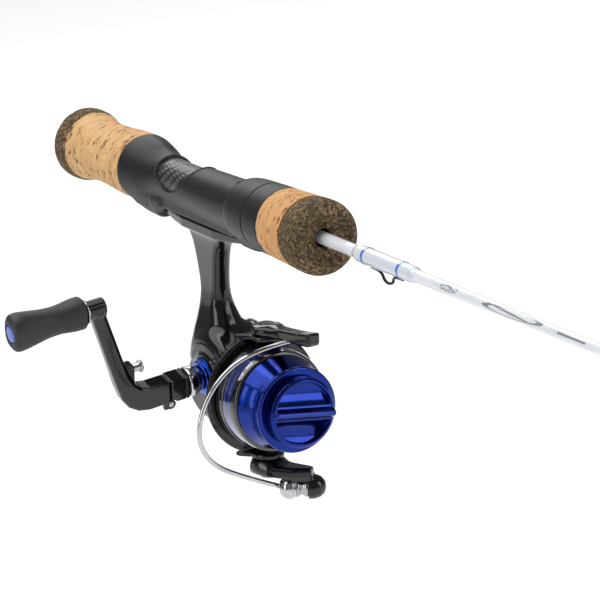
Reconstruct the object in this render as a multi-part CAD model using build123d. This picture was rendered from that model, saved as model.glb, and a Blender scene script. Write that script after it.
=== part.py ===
from build123d import *
import math
import os

# Ice fishing rod with its spinning reel, in millimetres.
# Origin: centre of the butt end. +X runs along the rod to the tip, +Z is up,
# the reel hangs below on -Z and its crank is on the -Y side.

# ---------------------------------------------------------------- driving sizes
ROD_LENGTH = 711.0        # butt end to the front of the tip ring (28 in)
BUTT_RADIUS = 13.5
BLANK_RADIUS = 2.25       # parallel part inside the handle
TIP_RADIUS = 0.6
BLANK_REAR = 4.0
TAPER_START = 190.0
TIP_TOP_REAR = 697.0
GLUE = 0.03               # glue line between fixed round parts
RUNNING = 0.05            # radial clearance of a running fit
APART = 0.3               # gap between parts that pass each other

STEM_X = 100.0            # crank and stem station along the rod
REEL_Z = -71.0            # rotor and spool axis below the rod axis
CRANK_RISE = 5.6          # crank axis above the rotor axis (offset gearing)
CRANK_TURN = 16.0         # rest angle of the crank arm, leaning to the tip
ROTOR_TURN = -8.5         # rest angle of the rotor about its axis

BUTT_LENGTH = 9.0
REAR_CORK_SEAM = 28.0
SEAT_REAR = 52.0
SEAT_FRONT = 129.5
HOOD_REAR = 131.0
NUT_REAR = 147.0
CORK_REAR = 158.0
BURL_REAR = 174.5
GRIP_FRONT = 186.0
BARREL_RADIUS = 6.4
BARREL_REAR = 118.0
BARREL_FRONT = 178.0

FOOT_TOP = -9.6
FOOT_REAR = 66.0
FOOT_FRONT = 139.0

REEL = Pos(STEM_X, 0, REEL_Z)
ROTOR = REEL * Rot(ROTOR_TURN, 0, 0)
CRANK = REEL * Pos(0, 0, CRANK_RISE) * Rot(0, CRANK_TURN, 0)

os.makedirs("parts", exist_ok=True)


# ---------------------------------------------------------------- helpers
def save(name, shape):
    """Write one sub-part as its own STEP file."""
    solids = shape.solids() if hasattr(shape, "solids") else shape
    kept = Compound(children=list(solids)) if len(solids) > 1 else solids[0]
    kept.label = name
    export_step(kept, f"parts/{name}.step")


def cyl_x(radius, start, end, y=0.0, z=0.0):
    return Pos((start + end) / 2, y, z) * Rot(0, 90, 0) * Cylinder(radius, end - start)


def cyl_y(radius, start, end, x=0.0, z=0.0):
    return Pos(x, (start + end) / 2, z) * Rot(90, 0, 0) * Cylinder(radius, end - start)


def cyl_z(radius, start, end, x=0.0, y=0.0):
    return Pos(x, y, (start + end) / 2) * Cylinder(radius, end - start)


def box(x0, x1, y0, y1, z0, z1):
    return Pos((x0 + x1) / 2, (y0 + y1) / 2, (z0 + z1) / 2) * Box(x1 - x0, y1 - y0, z1 - z0)


def turned(*points):
    """Solid of revolution about X from a closed outline of (x, radius) points."""
    return revolve(make_face(Polyline(*points, close=True)), Axis.X)


def turned_curve(curve, bore):
    """Solid of revolution about X: a smooth outer curve over a straight bore."""
    first = curve[0]
    last = curve[-1]
    rest = Polyline(last, (last[0], bore), (first[0], bore), first)
    edges = Spline(*curve).edges() + rest.edges()
    return revolve(make_face(edges), Axis.X)


def along_x(face, x0, x1):
    return Pos(x0, 0, 0) * extrude(face, x1 - x0, dir=(1, 0, 0))


def along_y(face, y0, y1):
    return Pos(0, y0, 0) * extrude(face, y1 - y0, dir=(0, 1, 0))


def along_z(face, z0, z1):
    return Pos(0, 0, z0) * extrude(face, z1 - z0, dir=(0, 0, 1))


def plate_xz(points, y0, y1):
    """Flat plate with an outline in X and Z, between two Y planes."""
    face = make_face(Plane.XZ * Polyline(*points, close=True))
    return along_y(face, y0, y1)


def smooth_route(points, share=0.45):
    """Straight runs joined by arcs as large as the runs allow."""
    route = [Vector(p) for p in points]
    radii = []
    for before, corner, after in zip(route, route[1:], route[2:]):
        turn = math.radians((corner - before).get_angle(after - corner))
        run = min((corner - before).length, (after - corner).length)
        radii.append(share * run / math.tan(turn / 2))
    return FilletPolyline(*route, radius=radii)


def wire(points, radius):
    path = smooth_route(points)
    start = Plane(origin=path @ 0, z_dir=path % 0)
    return sweep(start * Circle(radius), path=path)


def blank_radius(x):
    if x <= TAPER_START:
        return BLANK_RADIUS
    share = (x - TAPER_START) / (ROD_LENGTH - 2 - TAPER_START)
    return BLANK_RADIUS + share * (TIP_RADIUS - BLANK_RADIUS)


def sleeve(x0, x1, thickness, taper=2.0):
    """Wrap on the tapered blank: full thickness between two feathered ends."""
    b0 = blank_radius(x0) + GLUE
    b1 = blank_radius(x1) + GLUE
    inner0 = blank_radius(x0 + taper)
    inner1 = blank_radius(x1 - taper)
    return turned((x0, b0), (x0, b0 + 0.15), (x0 + taper, inner0 + thickness),
                  (x1 - taper, inner1 + thickness), (x1, b1 + 0.15), (x1, b1))


def toothed_ring(root, tip, teeth, width, y0, y1, turn=0.0):
    """Spur wheel about Y: tapered teeth on a disc."""
    wheel = Circle(root)
    half = width / 2
    for i in range(teeth):
        tooth = Polyline((root - 0.4, -half), (tip, -half * 0.55), (tip, half * 0.55), (root - 0.4, half), close=True)
        wheel += Rot(0, 0, turn + i * 360 / teeth) * make_face(tooth)
    return along_y(Plane.XZ * wheel, y0, y1)


# ---------------------------------------------------------------- rod handle
def rod_blank():
    straight = cyl_x(BLANK_RADIUS, BLANK_REAR, TAPER_START)
    end = ROD_LENGTH - 2
    taper = turned((TAPER_START, 0), (TAPER_START, BLANK_RADIUS), (end, TIP_RADIUS), (end, 0))
    return straight + taper


def butt_cap():
    round_end = 2.6
    body = turned((0, 0), (0, BUTT_RADIUS - round_end), (0.8, BUTT_RADIUS - 0.9), (round_end, BUTT_RADIUS),
                  (5.5, BUTT_RADIUS), (BUTT_LENGTH, 12.8), (BUTT_LENGTH, 0))
    return body - cyl_x(BLANK_RADIUS + GLUE, BLANK_REAR, BUTT_LENGTH + 1)


def rear_cork(curve):
    return turned_curve(curve, BLANK_RADIUS + GLUE)


def foot_solid(grow=0.0):
    """Reel foot: a plate with tapered toes, flat on top, thinner to its ends."""
    g = grow
    side = plate_xz([(FOOT_REAR - g, FOOT_TOP + g), (FOOT_FRONT + g, FOOT_TOP + g),
                     (FOOT_FRONT + g, FOOT_TOP - 1.2 - g), (120, FOOT_TOP - 3.6 - g),
                     (112, FOOT_TOP - 4.0 - g), (88, FOOT_TOP - 4.0 - g), (80, FOOT_TOP - 3.6 - g),
                     (FOOT_REAR - g, FOOT_TOP - 1.2 - g)], -8, 8)
    plan = make_face(Polyline((FOOT_REAR - g, -3 - g), (FOOT_REAR + 2, -4.3 - g), (88, -6.6 - g), (112, -6.6 - g),
                              (FOOT_FRONT - 2, -4.3 - g), (FOOT_FRONT + g, -3 - g), (FOOT_FRONT + g, 3 + g),
                              (FOOT_FRONT - 2, 4.3 + g), (112, 6.6 + g), (88, 6.6 + g), (FOOT_REAR + 2, 4.3 + g),
                              (FOOT_REAR - g, 3 + g), close=True))
    return side & along_z(plan, -20, 0)


WINDOW_FLOOR = 6.4        # radius of the recess under the woven panel
WINDOW_GAP = 0.12
WINDOW_SIDE = [(72.6, 9.5), (73.4, 5.0), (76.5, 1.0), (82.0, -1.3), (88.5, -0.4), (94.5, 3.6), (99.8, 9.5)]


def window_region():
    edges = Spline(*WINDOW_SIDE).edges() + Line(WINDOW_SIDE[-1], WINDOW_SIDE[0]).edges()
    face = make_face(Plane.XZ * Curve(edges))
    return along_y(face, -12, 12)


def reel_seat(window):
    curve = [(SEAT_REAR, 12.2), (55, 11.7), (61, 10.6), (67, 8.8), (73, 8.0), (85, 7.95), (95, 8.2), (110, 8.6),
             (SEAT_FRONT, 9.0)]
    shell = turned_curve(curve, BLANK_RADIUS + GLUE)
    saddle = box(69, SEAT_FRONT, -6.9, 6.9, FOOT_TOP + 0.3, -3)
    hump = plate_xz([(53, -8), (53.5, -11.6), (60, -13.9), (66, -15.4), (69, -15.4), (70, -12.5), (74, -8)], -8, 8)
    round_hump = along_x(Plane.YZ * Pos(0, -5.4) * RectangleRounded(14.6, 20, 5.4), 50, 80)
    shell += saddle + (hump & round_hump)
    shell -= cyl_x(BARREL_RADIUS + GLUE, BARREL_REAR, SEAT_FRONT + 1)
    shell -= foot_solid(0.08)
    shell -= box(126.6, SEAT_FRONT + 1, -1.5, 1.5, BARREL_RADIUS, 12)
    recess = cyl_x(20, 70, 102) - cyl_x(WINDOW_FLOOR, 70, 102)
    return shell - (recess & window)


def window_insert(window):
    weave = cyl_x(7.2, 70, 102) - cyl_x(WINDOW_FLOOR + GLUE, 70, 102)
    return weave & (Pos(0, 0, WINDOW_GAP) * window)


def seat_barrel():
    barrel = cyl_x(BARREL_RADIUS, BARREL_REAR, BARREL_FRONT) - cyl_x(BLANK_RADIUS + GLUE, 100, 190)
    return barrel - box(124, 160, -1.2, 1.2, BARREL_RADIUS - 0.9, 8)


def moving_hood():
    ring = turned_curve([(HOOD_REAR, 10.3), (132, 10.8), (135, 11.4), (141, 11.75), (NUT_REAR - APART, 11.95)],
                        BARREL_RADIUS + RUNNING)
    bump = along_x(Plane.YZ * Pos(0, -5.4) * RectangleRounded(12.6, 15.8, 4.5), HOOD_REAR, HOOD_REAR + 13)
    bore = cyl_x(9, HOOD_REAR - 1, NUT_REAR)
    key = box(HOOD_REAR + 1, NUT_REAR - 1, -1.05, 1.05, BARREL_RADIUS - 0.75, BARREL_RADIUS + 1)
    return ring + (bump - bore) + key - foot_solid(APART)


def foregrip_nut():
    head = turned_curve([(NUT_REAR, 11.95), (150, 12.05), (154, 12.15), (CORK_REAR, 12.2)], BARREL_RADIUS + RUNNING)
    tube = cyl_x(8.2, CORK_REAR - 0.5, 173) - cyl_x(BARREL_RADIUS + RUNNING, 150, 174)
    return head + tube


def fore_cork_ring():
    return turned_curve([(CORK_REAR, 12.2), (164, 12.45), (170, 12.65), (BURL_REAR, 12.8)], 8.2 + GLUE)


def fore_burl_ring():
    edge = 3.6
    slant = edge * (1 - math.sqrt(0.5))
    return turned((BURL_REAR, 12.85), (180, 13.0), (GRIP_FRONT - edge, 13.0),
                  (GRIP_FRONT - slant, 13.0 - slant), (GRIP_FRONT, 13.0 - edge), (GRIP_FRONT, 8.9),
                  (GRIP_FRONT - 0.8, 8.2), (GRIP_FRONT - 2.0, 6.4), (GRIP_FRONT - 2.6, 3.2), (180.5, 3.2),
                  (180.5, 6.9), (BURL_REAR, 6.9))


# ---------------------------------------------------------------- guides and keeper
GUIDES = [(392.0, 6.0, 10.6), (492.0, 4.8, 8.4), (572.0, 3.9, 6.8), (634.0, 3.2, 5.6)]
GUIDE_FOOT = 13.0
WRAP_OVER = 3.0
WRAP_BUILD = 1.05         # thread and epoxy thickness over a guide foot
KEEPER_BUILD = 0.7


def guide_frame(x, ring, drop):
    """Single-foot guide: stamped plate around the ring, bent to a foot along the blank."""
    top = -blank_radius(x) - GLUE
    holder = Pos(x, 0, -drop) * Rot(0, 90, 0) * Cylinder(ring, 0.9)
    neck_points = [(-ring * 0.86, -drop + ring * 0.5), (ring * 0.86, -drop + ring * 0.5), (1.0, top), (-1.0, top)]
    neck = along_x(Plane.YZ * make_face(Polyline(*neck_points, close=True)), x - 0.45, x + 0.45)
    foot = box(x - GUIDE_FOOT, x + 0.45, -0.9, 0.9, top - 0.6, top)
    eye = Pos(x, 0, -drop) * Rot(0, 90, 0) * Cylinder(ring * 0.84, 3)
    around_blank = turned((x - 20, 0), (x - 20, blank_radius(x - 20) + GLUE), (x + 5, blank_radius(x + 5) + GLUE),
                          (x + 5, 0))
    return holder + neck + foot - eye - around_blank


def guide_ring(x, ring, drop):
    outer = ring * 0.84 - 0.02
    tube = outer * 0.17
    return Pos(x, 0, -drop) * Rot(0, 90, 0) * Torus(outer - tube, tube)


def guide_wraps():
    wraps = []
    for x, ring, drop in GUIDES:
        start = x - GUIDE_FOOT - WRAP_OVER
        wrap = sleeve(start, x - 2.0, WRAP_BUILD, 1.5)
        wraps += (wrap - guide_frame(x, ring, drop)).solids()
    return Compound(children=wraps)


def trim_band(x, thickness):
    inner = blank_radius(x) + thickness + 0.02
    return cyl_x(inner + 0.14, x - 0.6, x + 0.6) - cyl_x(inner, x - 1, x + 1)


def wrap_trims():
    bands = [trim_band(x, KEEPER_BUILD) for x in (212.8, 235.2)]
    for guide in GUIDES:
        bands.append(trim_band(guide[0] - GUIDE_FOOT, WRAP_BUILD))
        bands.append(trim_band(guide[0] - 4.4, WRAP_BUILD))
    return Compound(children=bands)


def tip_top():
    x = ROD_LENGTH - 1.2
    ring = 2.6
    drop = 3.9
    tube = cyl_x(1.35, TIP_TOP_REAR, ROD_LENGTH - 1.0)
    holder = Pos(x, 0, -drop) * Rot(0, 90, 0) * Cylinder(ring, 0.9)
    neck = box(x - 0.45, x + 0.45, -1.0, 1.0, -drop, 0)
    frame = tube + holder + neck - Pos(x, 0, -drop) * Rot(0, 90, 0) * Cylinder(ring * 0.8, 3)
    fitted = turned((690, 0), (690, blank_radius(690) + GLUE), (709, TIP_RADIUS + GLUE), (709, 0))
    outer = ring * 0.8 - 0.02
    eye = Pos(x, 0, -drop) * Rot(0, 90, 0) * Torus(outer - 0.38, 0.38)
    return frame - fitted, eye


KEEPER_ROUTE = [(214, 0, -3.45), (219.4, 0, -3.45), (221.6, 0, -6.0), (226.6, 0, -6.0), (228.6, 0, -3.45),
                (234, 0, -3.45)]


# ---------------------------------------------------------------- reel housing
GEAR_REACH = 10.6         # mesh point ahead of the crank axis
GEAR_OUT = 13.06
SPUR_CENTRE = 13.5        # crank axis to oscillation wheel axis
SPUR_X = -10.5
SPUR_Z = CRANK_RISE - math.sqrt(SPUR_CENTRE ** 2 - SPUR_X ** 2)
FRONT_BOSS = 16.4
PINION_RADIUS = 2.1
SHAFT_RADIUS = 1.25
CRANK_SHAFT_RADIUS = 2.5


def housing_outline(inset):
    """Side outline of the gear case: a hull of three rounds in the X-Z plane."""
    rounds = [Pos(0, CRANK_RISE) * Circle(15.0 - inset), Pos(SPUR_X, SPUR_Z) * Circle(11.7 - inset),
              Pos(3, -4) * Circle(12.0 - inset)]
    edges = [r.edge() for r in rounds]
    return Plane.XZ * make_hull(edges)


def section(x0, x1, half, z, y=0.0):
    """Level oval section of the stem."""
    width = x1 - x0
    return Pos((x0 + x1) / 2, y, z) * RectangleRounded(width, 2 * half, min(width, 2 * half) * 0.46)


def stem_solid():
    foot_under = FOOT_TOP - 4.0 - REEL_Z
    levels = [section(-15.5, 15.0, 4.6, foot_under + 0.2), section(-13.6, 7.4, 3.7, foot_under - 6),
              section(-12.9, 1.9, 3.4, 38), section(-13.6, 0.6, 4.1, 30, -0.2), section(-15.2, 4.5, 6.0, 23, -0.9),
              section(-17.5, 9.5, 8.7, 15, -1.3)]
    return loft(levels)


def reel_body():
    case = along_y(housing_outline(0), -10.5, 9.0)
    outer = case.faces().sort_by(Axis.Y)[0]
    case = fillet(outer.edges(), 3.4)
    case += stem_solid()
    case += Pos(-STEM_X, 0, -REEL_Z) * foot_solid()
    case += cyl_x(6.0, 13.5, FRONT_BOSS)
    case += cyl_y(8.0, -12.3, -10.0, 0, CRANK_RISE)
    case += cyl_x(3.0, -8.5, 2.0, 0, -17.2)
    cavity = along_y(housing_outline(1.5), -8.7, 9.1)
    case -= cavity
    case -= cyl_x(4.2 + GLUE, 10, 16.0)
    case -= cyl_x(3.1, 15, 18)
    case -= cyl_y(5.0 + GLUE, -11.9, -8, 0, CRANK_RISE)
    case -= cyl_y(3.2, -14, -8, 0, CRANK_RISE)
    case -= cyl_x(1.6 + RUNNING, -10, 4, 0, -17.2)
    case -= cyl_y(1.5 + GLUE, -10, -8, SPUR_X, SPUR_Z)
    for x, z in COVER_SCREWS:
        case += cyl_y(2.0, 5.5, 9.0, x, z) & along_y(housing_outline(0.5), -9, 9)
        case -= cyl_y(0.8, 5.8, 9.5, x, z)
    return case


COVER_SCREWS = [(-19.3, 2.2), (6.6, -13.6), (6.0, 17.2)]


def side_cover():
    plate = along_y(housing_outline(0), 9.0, 10.6)
    rim = plate.faces().sort_by(Axis.Y)[-1]
    plate = fillet(rim.edges(), 1.1)
    plate += cyl_y(6.4, 6.3, 9.1, 0, CRANK_RISE)
    plate -= cyl_y(5.0 + GLUE, 6.0, 8.9, 0, CRANK_RISE)
    plate -= cyl_y(3.0, 5, 12, 0, CRANK_RISE)
    for x, z in COVER_SCREWS:
        plate -= cyl_y(0.85, 8, 12, x, z)
        plate -= cyl_y(1.55, 10.0, 12, x, z)
    return plate


def cover_screws():
    screws = []
    for x, z in COVER_SCREWS:
        screws.append(cyl_y(0.78, 6.0, 10.1, x, z) + cyl_y(1.45, 10.02, 10.9, x, z))
    return Compound(children=screws)


def race(outer, inner, start, end, along):
    turn = cyl_x if along == "x" else cyl_y
    return turn(outer, start, end) - turn(inner, start - 1, end + 1)


# ---------------------------------------------------------------- gear train
def drive_gear():
    """Crown wheel: straight teeth set off the centre by the gear offset."""
    disc = cyl_y(GEAR_OUT, 2.8, 5.0) + cyl_y(4.2, 4.9, 6.1)
    teeth = 50
    for i in range(teeth):
        bar = box(9.4, 11.6, 1.95, 2.9, -CRANK_RISE - 0.21, -CRANK_RISE + 0.21)
        disc += Rot(0, i * 360 / teeth, 0) * bar
    return disc - cyl_y(CRANK_SHAFT_RADIUS + 0.01, 0, 8)


def pinion_gear():
    """Pinion with ten straight teeth and the tube that carries the rotor."""
    tube = cyl_x(PINION_RADIUS, 12.1, 24)
    teeth_part = cyl_x(1.62, 8.6, 12.2)
    for i in range(10):
        tooth = box(8.8, 12.1, -0.2, 0.2, 1.2, 2.45)
        teeth_part += Rot(i * 36, 0, 0) * tooth
    return tube + teeth_part - cyl_x(SHAFT_RADIUS + RUNNING, 5, 30)


def oscillation_slider():
    block = box(-15, -6, -2.4, 1.6, -4.6, 2.4)
    slot = box(-12, -9, -3, -1.2, -4.0, 1.8)
    return block - slot - cyl_x(SHAFT_RADIUS + GLUE, -20, 0)


# ---------------------------------------------------------------- rotor, bail, spool
PIVOT_X = 22.3
SLOT_END = 5.7
ARM_TOP = 22.2            # outer face of the rotor arms
BAIL_START = 22.5         # inner face of the bail's lever and arm
LEVER_TOP = 25.6


def arm_plate(r0, r1):
    """Rotor arm: a slab with a round end, r0 to r1 above the rotor axis."""
    slab = box(15.9, PIVOT_X, -SLOT_END, SLOT_END, r0, r1)
    return slab + cyl_z(SLOT_END, r0, r1, PIVOT_X, 0)


def rotor():
    cup = turned((16.9, 2.12), (16.9, 7.2), (15.8, 8.0), (15.8, 18.6), (16.5, 21.0), (17.2, 21.8), (18.2, 21.8),
                 (18.8, 20.9), (18.8, 14.0), (30.0, 14.0), (30.0, 12.2), (18.6, 12.2), (18.6, 2.12))
    cup += arm_plate(20.4, ARM_TOP)
    cup += Rot(180, 0, 0) * arm_plate(20.4, ARM_TOP)
    for side in (0, 180):
        cup -= Rot(side, 0, 0) * cyl_z(1.0, 18, 25, PIVOT_X, 0)
    return cup


def pivot_screws():
    """Two shouldered screws, one through each bail pivot."""
    pair = []
    for side, top in ((0, LEVER_TOP + 0.1), (180, 28.6)):
        screw = cyl_z(0.97, 20.6, ARM_TOP + 0.1, PIVOT_X, 0) + cyl_z(1.6, ARM_TOP + 0.02, top, PIVOT_X, 0)
        screw += cyl_z(2.8, top, top + 0.8, PIVOT_X, 0)
        pair += (Rot(side, 0, 0) * screw).solids()
    return Compound(children=pair)


BAIL_ROUTE = [(39.5, 4.0, 23.2), (38.5, -12.5, 24.0), (37.0, -28.0, 15.0), (36.0, -35.8, 0.0),
              (33.6, -31.6, -13.0), (31.6, -18.0, -23.0), (29.5, -3.8, -31.4)]
BAIL_WIRE_RADIUS = 0.9
ROLLER_START = (29.8, 1.6, -32.0)
ROLLER_TURN = 63.4


def roller_frame():
    """Roller axis along local X, from the wire end to the domed end."""
    return Pos(*ROLLER_START) * Rot(0, 0, ROLLER_TURN)


def bail_lever():
    hub = cyl_z(5.6, BAIL_START, LEVER_TOP, PIVOT_X, 0)
    tail = plate_xz([(PIVOT_X, 22.7), (36, 22.6), (50.5, 23.8), (52.4, 24.9), (52.4, 28.0), (50.5, 28.7), (38, 27.0),
                     (PIVOT_X, 25.4)], -2.9, 2.9)
    return hub + (Rot(0, 0, 3) * tail) - cyl_z(1.6 + RUNNING, 20, 32, PIVOT_X, 0)


def bail_arm():
    """Bottom arm of the bail, with the domed end that holds the roller pin."""
    hub = cyl_z(6.2, -27.2, -BAIL_START, PIVOT_X, 0)
    link = Polyline((PIVOT_X - 2, -6), (PIVOT_X + 6, -4), (39.2, 10.0), (34.6, 12.8), (PIVOT_X - 1, 6), close=True)
    bar = along_z(make_face(link), -28.5, -24.0)
    dome = roller_frame() * turned((9.0, 0), (9.0, 4.3), (11.0, 4.3), (13.2, 3.7), (14.7, 2.3), (15.3, 0))
    inner = roller_frame() * cyl_x(4.9, -1, 8.8)
    body = hub + (bar - inner) + dome
    body -= roller_frame() * cyl_x(1.0 + GLUE, 5, 12)
    return body - cyl_z(1.6 + RUNNING, -32, -20, PIVOT_X, 0)


def wire_cone():
    return roller_frame() * turned((-1.2, 0), (-1.2, 2.2), (0.4, 3.8), (1.4, 4.2), (4.4, 4.2), (4.4, 0))


def line_roller():
    body = turned((4.6, 1.05), (4.6, 3.6), (5.4, 3.5), (6.6, 2.7), (7.8, 3.5), (8.7, 3.6), (8.7, 1.05))
    return roller_frame() * body


def spool_skirt():
    return turned((19.2, 17.0), (19.2, 18.9), (20.2, 19.0), (30.0, 18.3), (31.6, 18.0), (32.0, 17.2), (32.0, 12.6),
                  (30.6, 12.6), (30.6, 16.2), (29.6, 17.0))


def spool_arbor():
    lip = [(40.4, 13.3), (41.1, 14.3), (42.0, 14.7), (42.5, 14.4), (42.9, 15.2), (43.6, 15.4), (44.3, 14.9),
           (44.3, 11.2), (40.2, 11.2), (40.2, 4.0)]
    back = [(40.2, SHAFT_RADIUS + RUNNING), (30.6, SHAFT_RADIUS + RUNNING), (30.6, 4.0), (35.4, 4.0), (35.4, 10.6),
            (30.6, 10.6), (30.6, 12.55), (32.05, 12.55), (32.05, 16.9), (33.0, 16.6), (36.0, 15.2), (39.0, 13.8)]
    return turned(*lip, *back)


KNOB_BACK = 44.6
KNOB_TURN = -13.6          # rest angle of the knob's fin


def drag_knob():
    ring = turned((KNOB_BACK, 10.4), (KNOB_BACK, 12.2), (45.2, 12.5), (48.2, 12.5), (48.9, 11.9), (49.0, 11.2),
                  (49.0, 0), (46.8, 0), (46.8, 10.4))
    well = cyl_x(10.9, 47.6, 52)
    scoops = cyl_y(7.2, -13, 13, 52.6, 7.6) + cyl_y(7.2, -13, 13, 52.6, -7.6)
    face = ring - (scoops & well)
    fin = plate_xz([(46.9, -2.6), (49.0, -1.7), (51.6, -0.7), (51.6, 0.7), (49.0, 1.7), (46.9, 2.6)], -12, 12)
    boss = cyl_x(3.2, 45.0, 47.0)
    knob = face + boss + (fin & cyl_x(11.7, 46, 52)) - cyl_x(SHAFT_RADIUS + RUNNING, 40, 48.6)
    return Rot(KNOB_TURN, 0, 0) * knob


# ---------------------------------------------------------------- crank
BLOCK_START = -20.6
BLOCK_END = -27.6
ARM_START = -27.9
ARM_REACH = 42.0
FOLD_Y = -27.75
FOLD_Z = -5.2
HUB_START = -51.2
HUB_END = -58.0
KNOB_START = -59.0
KNOB_END = -87.0


def crank_collar():
    collar = cyl_y(4.9, -20.5, -15.1) + cyl_y(5.4, -20.5, -17.6)
    return collar - cyl_y(CRANK_SHAFT_RADIUS + 0.01, -22, -14)


def crank_base():
    block = box(-3.9, 3.9, BLOCK_END, BLOCK_START, -4.3, 4.3)
    block = fillet(block.edges().filter_by(Axis.Y), 0.9)
    tongue = box(-1.3, 1.3, BLOCK_END, BLOCK_END + 3, FOLD_Z, -3) + cyl_along_x(1.9, -1.3, 1.3)
    block -= cyl_along_x(2.2, -5, 5) - cyl_along_x(2.3, -1.3, 1.3)
    block += tongue - cyl_along_x(0.9 + RUNNING, -5, 5)
    return block - cyl_along_x(0.9 + RUNNING, -5, 5)


def cyl_along_x(radius, start, end):
    """Round about the fold pin, which lies across the crank."""
    return cyl_x(radius, start, end, FOLD_Y, FOLD_Z)


def crank_arm():
    """Elbow and arm in the plane of the crank, with fold lugs and the knob hub."""
    side = Polyline((ARM_START, -4.3), (-38, -4.6), (-43.5, -1.8), (-47.2, 4.0), (-56.6, 39.5), (-51.4, 41.5),
                    (-42.6, 10.5), (-40.0, 5.6), (-37.0, 4.3), (ARM_START, 4.3), close=True)
    arm = along_x(Plane.YZ * make_face(side), -3.4, 3.4)
    taper = Polyline((-4.2, -8), (4.2, -8), (4.2, 8), (2.7, 20), (2.7, 50), (-2.7, 50), (-2.7, 20), (-4.2, 8),
                     close=True)
    arm &= along_y(Plane.XZ * make_face(taper), -70, -20)
    arm += cyl_y(3.3, HUB_END, HUB_START, 0, ARM_REACH)
    knuckle = box(-2.4, 2.4, -45.5, -41.2, 8.0, 15.2)
    arm += knuckle
    for x0 in (-3.4, 1.4):
        arm += cyl_along_x(1.9, x0, x0 + 2.0)
        arm += box(x0, x0 + 2.0, ARM_START - 2.5, ARM_START, FOLD_Z - 1.6, -3)
    arm -= cyl_along_x(2.2, -1.4, 1.4)
    arm -= cyl_along_x(0.9 + 0.01, -5, 5)
    arm -= cyl_y(1.5 + RUNNING, -44.8, -40, 0, 12.9)
    return arm - cyl_y(1.9 + 0.01, HUB_END - 1, HUB_START - 1, 0, ARM_REACH)


def fold_button():
    stem = cyl_y(1.5, -43.4, -38.4, 0, 12.9)
    return stem + cyl_y(2.3, -38.6, -37.4, 0, 12.9)


def knob_grip():
    """Paddle knob: oval sections, waisted, thicker at its outer end."""
    levels = []
    for y, half_x, half_z in ((KNOB_START, 4.8, 5.6), (-63, 5.0, 5.7), (-70, 4.4, 5.0), (-77, 4.8, 5.6),
                              (-83, 5.4, 6.8), (KNOB_END + 0.6, 4.6, 6.0)):
        face = Plane(origin=(0, y, ARM_REACH), x_dir=(1, 0, 0), z_dir=(0, -1, 0)) * Ellipse(half_x, half_z)
        levels.append(face)
    grip = loft(levels)
    grip -= cyl_y(1.9 + RUNNING, -84.6, KNOB_START + 1, 0, ARM_REACH)
    return grip - cyl_y(3.3, KNOB_END - 1, -85.0, 0, ARM_REACH)


# ---------------------------------------------------------------- write every sub-part
window = window_region()
save("rod_blank", rod_blank())
save("butt_cap", butt_cap())
save("rear_cork_ring_1", rear_cork([(BUTT_LENGTH, 12.75), (13, 11.9), (19, 11.3), (REAR_CORK_SEAM, 11.3)]))
save("rear_cork_ring_2", rear_cork([(REAR_CORK_SEAM, 11.35), (36, 11.7), (44, 12.15), (SEAT_REAR, 12.2)]))
save("reel_seat", reel_seat(window))
save("window_insert", window_insert(window))
save("seat_barrel", seat_barrel())
save("moving_hood", moving_hood())
save("foregrip_nut", foregrip_nut())
save("fore_cork_ring", fore_cork_ring())
save("fore_burl_ring", fore_burl_ring())

save("keeper_wrap", sleeve(205.5, 244.0, KEEPER_BUILD, 3.0))
save("hook_keeper", wire(KEEPER_ROUTE, 0.55))
for number, (x, ring, drop) in enumerate(GUIDES, 1):
    save(f"guide_frame_{number}", guide_frame(x, ring, drop))
save("guide_rings", Compound(children=[guide_ring(*sizes) for sizes in GUIDES]))
save("guide_wraps", guide_wraps())
save("wrap_trims", wrap_trims())
tip_frame, tip_eye = tip_top()
save("tip_top_frame", tip_frame)
save("tip_top_ring", tip_eye)

save("reel_body", REEL * reel_body())
save("side_cover", REEL * side_cover())
save("cover_screws", REEL * cover_screws())
save("handle_boss_ring", CRANK * (cyl_y(7.0, -13.4, -12.35) + cyl_y(6.1, -14.7, -13.3) - cyl_y(3.2, -16, -12)))
save("dust_cap", CRANK * (cyl_y(11.2, 10.65, 12.0) + cyl_y(5.0, 11.9, 13.6)))
save("front_bearing", REEL * race(4.2, PINION_RADIUS + RUNNING, 13.3, 15.95, "x"))
crank_races = [race(5.0, CRANK_SHAFT_RADIUS + RUNNING, start, start + 2.5, "y") for start in (-11.6, 6.35)]
save("crank_bearings", CRANK * Compound(children=crank_races))
save("oscillation_axle", REEL * cyl_y(1.5, -9.9, -4.3, SPUR_X, SPUR_Z))

mesh_turn = math.degrees(math.atan2(SPUR_Z - CRANK_RISE, SPUR_X))
spur_place = REEL * Pos(SPUR_X, 0, SPUR_Z)
small_spur = toothed_ring(3.8, 4.95, 12, 1.15, -6.4, -4.4, mesh_turn)
small_spur -= cyl_y(CRANK_SHAFT_RADIUS + 0.01, -8, 0)
large_spur = toothed_ring(8.3, 9.45, 24, 1.15, -6.4, -4.4, mesh_turn + 180 + 7.5)
large_spur += cyl_y(1.0, -4.5, -2.95, 5.2, 0)
large_spur -= cyl_y(1.5 + RUNNING, -8, -4.35)
save("drive_shaft", CRANK * cyl_y(CRANK_SHAFT_RADIUS, -20.4, 9.4))
save("drive_gear", REEL * Pos(0, 0, CRANK_RISE) * drive_gear())
save("oscillation_pinion", REEL * Pos(0, 0, CRANK_RISE) * small_spur)
save("oscillation_gear", spur_place * large_spur)
save("oscillation_slider", REEL * oscillation_slider())
save("main_shaft", REEL * cyl_x(SHAFT_RADIUS, -15.5, 48.4))
save("pinion_gear", REEL * pinion_gear())

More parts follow.
